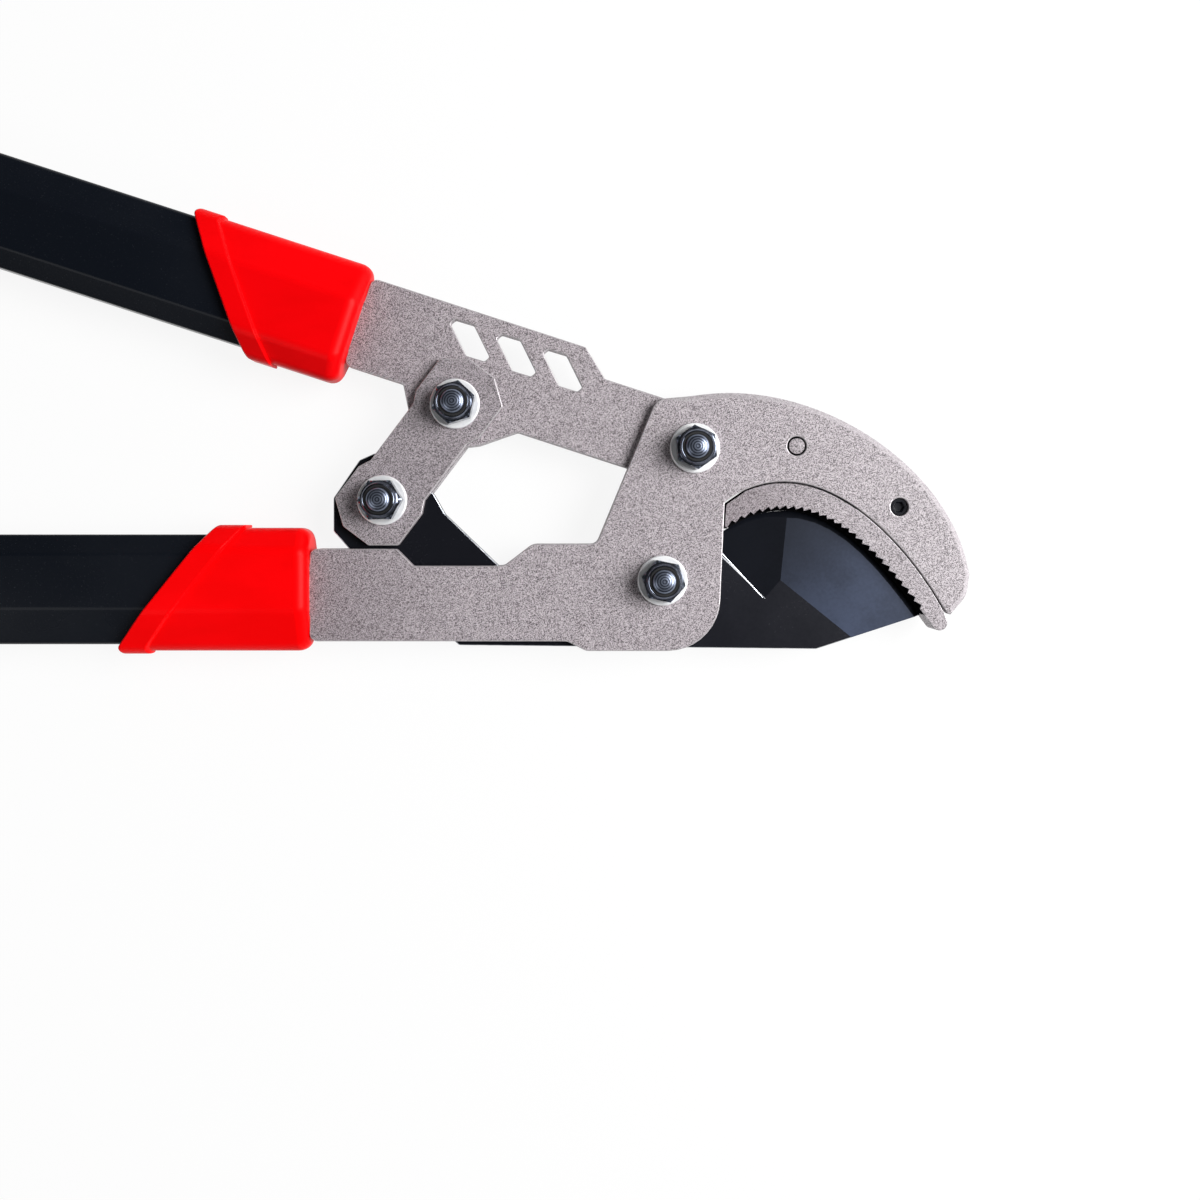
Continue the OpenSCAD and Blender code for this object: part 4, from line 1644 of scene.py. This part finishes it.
class TurnedSet:
    """Equal turned parts on several axes, with flats for a spanner where a flat radius is given."""

    def __init__(self) -> None:
        """Builds the tree."""
        inputs = [("Template", "NodeSocketObject"), ("Flat Radius", "NodeSocketFloat")]
        inputs += [("Flats From", "NodeSocketFloat"), ("Flats To", "NodeSocketFloat")]
        self.tree = Repeat("turned_set", inputs + [("Material", "NodeSocketMaterial")])
        nodes = self.tree.nodes
        part = nodes.add("GeometryNodeObjectInfo", {}, {"Object": self.tree.given("Template")}, "Geometry")
        place = nodes.add("GeometryNodeInputPosition", {}, {})
        x, y, z = nodes.split(place)
        radius = (x * x + y * y).apply("SQRT")
        sides, tiny = 6, 0.000001
        wedge = math.tau / sides
        wrapped = y.math("ARCTAN2", y, x).apply("FLOORED_MODULO", wedge) - wedge / 2
        limit = self.tree.given("Flat Radius") / wrapped.apply("COSINE")
        inside = z.apply("GREATER_THAN", self.tree.given("Flats From"))
        inside = inside * z.apply("LESS_THAN", self.tree.given("Flats To"))
        size = (limit / radius.apply("MAXIMUM", tiny)).apply("MINIMUM", 1.0)
        share = 1 - inside + inside * size
        cut = nodes.add("ShaderNodeCombineXYZ", {}, {0: x * share, 1: y * share, 2: z})
        flat = nodes.add("GeometryNodeSetPosition", {}, {"Geometry": part, "Position": cut})
        turn = nodes.add("GeometryNodeInputNamedAttribute", {"data_type": "FLOAT"}, {"Name": "turn"})
        spin = nodes.add("ShaderNodeCombineXYZ", {}, {2: turn})
        inputs = {"Points": self.tree.given("Geometry"), "Instance": flat, "Rotation": spin}
        self.tree.end(nodes.add("GeometryNodeInstanceOnPoints", {}, inputs))

    def build(self, axes: Sequence["Pin"], part: bpy.types.Mesh, flats: tuple[float, float, float],
              material: bpy.types.Material) -> bpy.types.Mesh:
        """Puts one turned part on each axis.

        Args:
            axes: The pins.
            part: The turned part, on the Z axis and at its height.
            flats: Radius of the flats, and the heights between which they are cut, in millimetres.
            material: The part's finish.

        Returns:
            The parts as one mesh.
        """
        base = bpy.data.meshes.new("axes")
        base.from_pydata([(pin.x * MM, pin.y * MM, 0) for pin in axes], [], [])
        turns = base.attributes.new("turn", "FLOAT", "POINT")
        turns.data.foreach_set("value", [math.radians(pin.turn) for pin in axes])
        template = new_object("turned_template", part)
        radius, low, high = flats
        values = {"Template": template, "Flat Radius": radius * MM, "Flats From": low * MM}
        values |= {"Flats To": high * MM, "Material": material}
        made = self.tree.run(base, values)
        bpy.data.objects.remove(template)
        return made


# Fasteners


@dataclass(frozen=True)
class Pin:
    """A bolted joint: its axis in millimetres, the turn of its hexagons in degrees, and its solids' name."""

    x: float
    y: float
    turn: float
    name: str


@dataclass
class PinSet:
    """Bolts, locking nuts, washers and nylon rings of one body, in millimetres.

    Attributes:
        body: The body that they ride on.
        pins: Their axes.
        rings: The solid of the nylon rings.
        stack_half: Half the stack of plates between the washers.
        flat: Half the width across a hexagon's flats.
        corner: Half its width across the corners.
        bolt: The bolt's radius.
        play: Gap round the bolt, and draft of the nylon ring's seat.
        chamfer: Slope of the hexagons' chamfers, in degrees.
        nut_seat: How far inside the flats the nut's seat ends.
        shoulder: How far outside the flats the nut's top begins.
        flats_past: How far past the nut's top its flats are cut.
        lock: Radius of the nut's round collar.
        lock_foot: The collar's foot, as distances out from it and up.
        lip: Width and height of the rounding at its top.
        ring_outer: Radius of the nylon ring's seat.
        ring_depth: Depth of that seat.
        ring_gap: Gap round and under the ring.
        ring_edge: Chamfer of the ring.
        bolt_past: How far the bolt stands out of the nut.
        head_edge: How far inside the flats the head's outer face ends.
        head_seat: How far inside the flats the head's seat ends, and its height.
        ledge: Drop of the head's inner face from its rim to the seat.
        thread: Depth and distance from the bolt's end of the points of the thread in sight.
        crown: Height of the bolt's rounded end.
        crown_span: First and last angle of that rounding, in degrees.
        dimple: Radius, as a share of the bolt's, and two depths of the end's middle.
        washer: The washers' radius.
        washer_edge: Their chamfer.
        washer_round: Their rounding on top.
        steps: Points round an axis.
        sharp: Edges above this angle stay sharp, in degrees.
    """

    body: Body
    pins: tuple[Pin, ...]
    rings: str
    stack_half: float = 5.25
    flat: float = 6.5
    corner: float = 7.506
    bolt: float = 4
    play: float = 0.05
    chamfer: float = 30
    nut_height: float = 5.6
    nut_seat: float = 0.2
    shoulder: float = 0.02
    flats_past: float = 0.02
    lock_height: float = 2.4
    lock: float = 5.8
    lock_foot: tuple[Point, ...] = ((0.45, 0.05), (0.1, 0.3))
    lip: Point = (0.75, 1.3)
    ring_outer: float = 5.1
    ring_depth: float = 0.9
    ring_gap: float = 0.02
    ring_edge: float = 0.15
    bolt_past: float = 1.6
    head_height: float = 5.3
    head_edge: float = 0.3
    head_seat: Point = (0.1, 0.28)
    ledge: float = 0.02
    thread: tuple[Point, ...] = ((0, 1.9), (0.3, 1.7), (0.3, 1.55), (0, 1.35))
    crown: float = 1.35
    crown_span: Point = (12, 78)
    dimple: tuple[float, float, float] = (0.1, 0.05, 0.09)
    washer: float = 8.5
    washer_height: float = 1.6
    washer_edge: float = 0.3
    washer_round: float = 0.55
    steps: int = 72
    sharp: float = 24

    def levels(self) -> tuple[float, float]:
        """Heights of the lower and upper washers' outer faces."""
        reach = self.stack_half + self.washer_height
        return MIDDLE - reach, MIDDLE + reach

    def bore(self) -> float:
        """Radius of the bores round the bolt."""
        return self.bolt + self.play

    def drop(self) -> float:
        """Height of the chamfer at a hexagon's corners."""
        return (self.corner - self.flat) * math.tan(math.radians(self.chamfer))

    def nut(self) -> bpy.types.Mesh:
        """Shapes a locking nut before its flats are cut.

        Returns:
            The nut: chamfered ends, rounded collar and bore.
        """
        _, base = self.levels()
        top = base + self.nut_height
        end = top + self.lock_height
        wide, high = self.lip
        profile = [(self.bore(), base), (self.flat - self.nut_seat, base)]
        profile += [(self.corner, base + self.drop()), (self.corner, top - self.drop())]
        profile += [(self.flat + self.shoulder, top)]
        profile += [(self.lock + out, top + up) for out, up in self.lock_foot]
        profile += arc((self.lock - wide, end - high), (wide, high), 0, 80, count=5)
        profile += [(self.ring_outer, end - self.play), (self.ring_outer - self.play, end - self.ring_depth)]
        profile += [(self.bore(), end - self.ring_depth)]
        return turned(profile, self.steps, "nut_template")

    def ring(self) -> bpy.types.Mesh:
        """Shapes a nylon ring.

        Returns:
            The ring that stands in the nut's collar.
        """
        _, base = self.levels()
        end = base + self.nut_height + self.lock_height
        inner = self.bore()
        outer = self.ring_outer - self.play - self.ring_gap
        low = end - self.ring_depth + self.ring_gap
        top = end - self.play
        edge = self.ring_edge
        profile = [(inner, low), (outer, low), (outer, top - edge)]
        profile += [(outer - edge, top), (inner + edge, top), (inner, top - edge)]
        return turned(profile, self.steps, "ring_template")

    def shank(self) -> bpy.types.Mesh:
        """Shapes a bolt before its flats are cut.

        Returns:
            The bolt: chamfered head, shank, one turn of thread in sight and a rounded end.
        """
        base, seat = self.levels()
        bottom = base - self.head_height
        end = seat + self.nut_height + self.lock_height + self.bolt_past
        inset, face = self.head_seat
        share, rim, pit = self.dimple
        profile = [(0, bottom), (self.flat - self.head_edge, bottom), (self.corner, bottom + self.drop())]
        profile += [(self.corner, base - face - self.ledge), (self.flat - inset, base - face)]
        profile += [(self.flat - inset, base), (self.bolt, base)]
        profile += [(self.bolt - deep, end - down) for deep, down in self.thread]
        profile += arc((0, end - self.crown), (self.bolt, self.crown), *self.crown_span, count=9)
        profile += [(self.bolt * share, end - rim), (0, end - pit)]
        return turned(profile, self.steps, "bolt_template")

    def washers(self) -> bpy.types.Mesh:
        """Shapes a pair of washers.

        Returns:
            The washers above and below the stack, with rounded rims.
        """
        low, high = self.levels()
        edge, soft = self.washer_edge, self.washer_round
        work = bmesh.new()
        for bottom in (low, high - self.washer_height):
            top = bottom + self.washer_height
            profile = [(self.bore(), bottom), (self.washer - edge, bottom), (self.washer, bottom + edge)]
            profile += arc((self.washer - soft, top - soft), (soft, soft), 0, 90, count=4)
            profile += [(self.bore() + edge, top), (self.bore(), top - edge)]
            part = turned(profile, self.steps, "washer_template")
            work.from_mesh(part)
            bpy.data.meshes.remove(part)
        return to_mesh(work, "washer_template")

    def build(self, zinc: bpy.types.Material, matt: bpy.types.Material, faced: bpy.types.Material,
              nylon: bpy.types.Material) -> None:
        """Builds the set.

        Args:
            zinc: The nuts' finish.
            matt: The washers' finish.
            faced: The bolts' finish.
            nylon: The rings' finish.
        """
        tree = TurnedSet()
        base, seat = self.levels()
        _, face = self.head_seat
        spare = 1
        no_flats = (1.0, 0.0, 0.0)
        nut_flats = (self.flat, seat - spare, seat + self.nut_height + self.flats_past)
        head_flats = (self.flat, base - self.head_height - spare, base - face - self.ledge / 2)
        parts = [("bolt", self.shank(), head_flats, faced), ("nut", self.nut(), nut_flats, zinc),
                 ("washers", self.washers(), no_flats, matt)]
        for kind, template, flats, material in parts:
            mesh = smooth(tree.build(self.pins, template, flats, material), self.sharp)
            name = f"{self.body.value}_{kind.rstrip('s')}_set"
            nodes = [f"{pin.name}_{kind}" for pin in self.pins]
            show(name, mesh, [material], self.body, nodes)
        mesh = smooth(tree.build(self.pins, self.ring(), no_flats, nylon), SHARP)
        show(f"{self.body.value}_ring_set", mesh, [nylon], self.body, [self.rings])


# Studio


@dataclass(frozen=True)
class SoftBox:
    """A round lamp, in metres.

    Attributes:
        name: The lamp's name.
        place: Where it stands.
        aim: The point that it faces.
        size: Its width.
        power: Its power in watts.
    """

    name: str
    place: tuple[float, float, float]
    aim: tuple[float, float, float]
    size: float
    power: float

    def build(self) -> None:
        """Puts the lamp into the scene."""
        data = bpy.data.lights.new(self.name, "AREA")
        data.shape = "DISK"
        data.size = self.size
        data.energy = self.power
        lamp = bpy.data.objects.new(self.name, data)
        lamp.location = self.place
        lamp.rotation_euler = (Vector(self.aim) - Vector(self.place)).to_track_quat("-Z", "Y").to_euler()
        bpy.context.scene.collection.objects.link(lamp)


@dataclass
class Studio:
    """Pale floor, soft light and the camera of the photograph, in metres.

    Attributes:
        eye: Where the camera stands; it looks straight down.
        lens: Focal length on a sensor as wide as sensor, in millimetres.
        shift: Shift of the frame, as shares of its width.
        clip: Nearest and farthest that the camera sees.
        floor_glow: How much of the floor's colour is its own white, where it is looked at.
        overhead: The studio's colour overhead.
        low_span: Parts of a direction along Z between which white turns into that colour.
        right_span: Parts along X that give the dim left and the white right.
        left_least: What is left of the white on the left.
        back_span: Parts along Y between which the back grows dimmer.
        back_rise: Parts along Z between which it does.
        back_dim: How much dimmer the back is.
        lamps: The soft boxes.
    """

    eye: tuple[float, float, float] = (-0.02968, 0.01785, 0.4174)
    lens: float = 35.29
    sensor: float = 36
    shift: Point = (0.0208, -0.06)
    clip: Point = (0.01, 50)
    floor_half: float = 6
    floor_level: float = -0.0002
    floor_pale: Colour = (0.86, 0.86, 0.86, 1)
    floor_glow: float = 0.9
    white: Colour = (1, 1, 1, 1)
    overhead: Colour = (0.04, 0.04, 0.04, 1)
    low_span: Point = (0.15, 0.5)
    right_span: Point = (-0.9, 0.6)
    left_least: float = 0.15
    back_span: Point = (-0.1, 0.8)
    back_rise: Point = (0.1, 0.35)
    back_dim: float = 0.55
    lamps: tuple[SoftBox, ...] = (
        SoftBox("key", (0.85, 0.18, 0.85), (0.02, 0.02, 0), size=0.92, power=25.6),
        SoftBox("left", (-0.7, -0.35, 0.7), (-0.2, 0.02, 0), size=0.6, power=1.4),
    )

    def camera(self) -> None:
        """Sets up the camera."""
        data = bpy.data.cameras.new("camera")
        data.lens = self.lens
        data.sensor_width = self.sensor
        data.shift_x, data.shift_y = self.shift
        data.clip_start, data.clip_end = self.clip
        camera = bpy.data.objects.new("camera", data)
        camera.location = self.eye
        bpy.context.scene.collection.objects.link(camera)
        bpy.context.scene.camera = camera

    def floor(self) -> None:
        """A plain pale floor that shows white and keeps the shadow."""
        h = self.floor_half
        mesh = bpy.data.meshes.new("floor")
        corners = [(-h, -h, self.floor_level), (h, -h, self.floor_level)]
        corners += [(h, h, self.floor_level), (-h, h, self.floor_level)]
        mesh.from_pydata(corners, [], [(0, 1, 2, 3)])
        material = bpy.data.materials.new("floor_pale")
        material.use_nodes = True
        nodes = Nodes(material.node_tree)
        seen = nodes.add("ShaderNodeLightPath", {}, {}, "Is Camera Ray")
        for ray in ("Is Glossy Ray", "Is Transmission Ray"):
            seen = seen.apply("MAXIMUM", nodes.add("ShaderNodeLightPath", {}, {}, ray))
        pale = nodes.add("ShaderNodeBsdfDiffuse", {}, {"Color": self.floor_pale})
        glow = nodes.add("ShaderNodeEmission", {}, {"Color": self.white, "Strength": 1.0})
        both = nodes.add("ShaderNodeMixShader", {}, {0: seen * self.floor_glow, 1: pale, 2: glow})
        nodes.add("ShaderNodeOutputMaterial", {}, {"Surface": both})
        mesh.materials.append(material)
        new_object("floor", mesh)

    def sky(self) -> None:
        """A studio that is white at the horizon, dark overhead, and dimmer on the left and the back.

        The camera itself sees it plain white.
        """
        world = bpy.data.worlds.new("studio")
        world.use_nodes = True
        bpy.context.scene.world = world
        nodes = Nodes(world.node_tree)
        direction = nodes.add("ShaderNodeTexCoord", {}, {}, "Generated")
        x, y, z = nodes.split(direction)
        low = 1 - z.between(*self.low_span)
        right = x.between(*self.right_span) * (1 - self.left_least) + self.left_least
        back = y.between(*self.back_span) * z.between(*self.back_rise) * self.back_dim
        seen = nodes.add("ShaderNodeLightPath", {}, {}, "Is Camera Ray")
        bright = (low * right * (1 - back)).apply("MAXIMUM", seen)
        shade = nodes.mix(bright, self.overhead, self.white)
        background = nodes.add("ShaderNodeBackground", {}, {"Color": shade, "Strength": 1.0})
        nodes.add("ShaderNodeOutputWorld", {}, {"Surface": background})

    def build(self) -> None:
        """Sets up the whole studio."""
        self.camera()
        self.floor()
        self.sky()
        for lamp in self.lamps:
            lamp.build()
        bpy.context.scene.view_settings.view_transform = "Standard"


def main() -> None:
    """Builds the studio and the pieces in order."""
    logging.basicConfig(level=logging.INFO, format="%(name)s: %(message)s")
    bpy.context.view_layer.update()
    Studio().build()

    pins = {
        "blade_pivot": Pin(0, 0, turn=48, name="blade_pivot"),
        "handle_pivot": Pin(11, 45, turn=35, name="handle_pivot"),
        "upper_link": Pin(-70.490, 60.032, turn=17, name="upper_link"),
        "lower_link": Pin(-95.165, 27.288, turn=1, name="lower_link"),
    }
    axes = tuple((pin.x * MM, pin.y * MM) for pin in pins.values())

    # Painted shade on the plates' coat: darkest left of x = -122 mm near the collars, gone past x = -62 mm.
    bar_shade = ((-122 * MM, 0), (-62 * MM, 0))
    coat = SpeckledCoat("speckled_coat", painted_shade_line=bar_shade, painted_shade_share=0.3).make()
    # Painted shade: a darker copy of the coat, for the links and the rivet.
    link_coat = SpeckledCoat("link_coat", dark=(0.02, 0.013, 0.016, 1), light=(0.45, 0.4, 0.428, 1)).make()
    # Painted shade: a darker copy of the coat for the anvil, darker still toward the throat.
    anvil_shade = ((22 * MM, 22 * MM), (58 * MM, 14 * MM))
    anvil_coat = SpeckledCoat("anvil_coat", light=(0.5, 0.45, 0.478, 1), painted_shade_line=anvil_shade,
                              painted_shade_share=0.35).make()
    # Painted highlight: a lighter copy of the coat for rounded rims.
    coat_edge = SpeckledCoat("coat_edge", dark=(0.34, 0.315, 0.325, 1), light=(0.56, 0.53, 0.55, 1),
                             roughness=0.42, metallic=0.4).make()
    # Painted highlight: a lighter copy of the coat for the chamfer along the hook's back.
    coat_band = SpeckledCoat("coat_band", dark=(0.2, 0.18, 0.19, 1), light=(0.52, 0.475, 0.502, 1)).make()
    # The blade's flat: painted shade darkens it toward the tail, and a painted highlight runs along the
    # crease.
    crease = ((17.5 * MM, 11.3 * MM), (35.4 * MM, -6.4 * MM))
    blade_black = BlackCoat("blade_coat", crease=crease, painted_shade_from=0.3).make()
    # The facet toward the tip: painted highlight that turns it paler and bluer toward the tip.
    facet = ((42 * MM, 21 * MM), (74 * MM, -8 * MM))
    blade_ground = BlackCoat("blade_ground", base=(0.008, 0.01, 0.016, 1), pale=(0.042, 0.055, 0.095, 1),
                             painted_light_line=facet, painted_shade_from=0.15, roughness=0.36, shine=0.13).make()
    # Painted shade: a darker copy for the ground edge and the facet at the throat.
    blade_edge = BlackCoat("blade_edge", base=(0.003, 0.0034, 0.005, 1), pale=(0.006, 0.007, 0.0105, 1),
                           roughness=0.4, shine=0.06).make()
    # Painted shade: near-black for the anvil's walls, the sheet behind its teeth and the rivet's groove.
    gap_black = BlackCoat("gap_black", base=(0.002, 0.002, 0.003, 1), pale=(0.006, 0.006, 0.007, 1),
                          roughness=0.9, shine=0.0).make()
    blade_rim = Plating("blade_rim", base=(0.6, 0.62, 0.66, 1), dull=(0.36, 0.38, 0.42, 1),
                        roughness=0.3).make()
    screw_black = BlackCoat("screw_oxide", pale=(0.008, 0.0085, 0.012, 1), shine=0.12).make()
    tube_paint = GlossPaint("tube_paint").make()
    red = MouldedRed("collar_red").make()
    # Painted shade: a darker copy of the collar's red for the upper collar.
    shaded_upper_red = MouldedRed("collar_red_upper", base=(0.84, 0.0006, 0.0022, 1),
                           deep=(0.79, 0.0004, 0.0016, 1)).make()
    rubber = PebbledRubber("grip_rubber").make()
    plastic = PebbledRubber("cap_plastic", pebbles=2200, roughness=0.5, depth=0.05 * MM).make()
    zinc = Plating("bright_zinc").make()
    matt_zinc = Plating("washer_zinc", base=(0.95, 0.95, 0.96, 1), dull=(0.8, 0.81, 0.83, 1),
                        roughness=0.34, metallic=0.3).make()
    faced = TurnedMetal("faced_steel", axes=axes).make()
    nylon = PebbledRubber("ring_nylon", pebbles=3000, roughness=0.35, depth=0.03 * MM).make()
    steel = Plating("plain_steel", base=(0.5, 0.5, 0.51, 1), dull=(0.38, 0.38, 0.4, 1), roughness=0.38).make()
    bronze = Plating("bush_bronze", base=(0.56, 0.4, 0.2, 1), dull=(0.42, 0.29, 0.14, 1),
                     roughness=0.34).make()

    for name in ("front_jaw_plate", "rear_jaw_plate"):
        JawPlate(name, Body.JAW).build([coat, coat_edge, coat_band])
    Anvil("serrated_anvil", Body.JAW).build([anvil_coat, gap_black, coat_edge])
    HookFixings().build(link_coat, gap_black, screw_black)
    StampedPlate("upper_handle_plate", Body.HANDLE).build([coat, coat_edge])
    for name in ("front_link", "rear_link"):
        StampedPlate(name, Body.LINK).build([link_coat, coat_edge])
    Blade().build([blade_black, blade_ground, blade_edge, blade_rim])

    PinSet(Body.JAW, (pins["blade_pivot"], pins["handle_pivot"]), "jaw_lock_rings").build(
        zinc, matt_zinc, faced, nylon)
    PinSet(Body.LINK, (pins["upper_link"], pins["lower_link"]), "link_lock_rings").build(
        zinc, matt_zinc, faced, nylon)

    section = TubeSection()
    tang_half = 9.05
    stack_half, plate_half = 5.3, 2.05
    lower_start = (-120, -3.17, MIDDLE)
    lower_frame = HandleFrame(Body.JAW, "lower", lower_start, along=180, outward=90)
    lower_handle = Handle(lower_frame, section, (tang_half, stack_half))
    lower_handle.build(red, tube_paint, rubber, plastic)
    pivot = pins["handle_pivot"]
    rake = 162
    away = math.radians(rake)
    bar, offset = 123, 4.2
    upper_start = (pivot.x + bar * math.cos(away) + offset * math.sin(away),
                   pivot.y + bar * math.sin(away) - offset * math.cos(away), MIDDLE)
    upper_frame = HandleFrame(Body.HANDLE, "upper", upper_start, along=rake, outward=-90)
    upper_handle = Handle(upper_frame, section, (tang_half, plate_half), collar_outer=63.2, band_width=9)
    upper_handle.build(shaded_upper_red, tube_paint, rubber, plastic)

    for name in ("tang_spacer", "lower_tang_rivets", "upper_tang_rivets"):
        coat_node(name, steel)
    for name in ("lower_tang_insert", "upper_tang_insert"):
        coat_node(name, plastic)
    for name in ("blade_pivot_bush", "handle_pivot_bush", "upper_link_bush", "lower_link_sleeve"):
        coat_node(name, bronze)


if __name__ == "__main__":
    main()
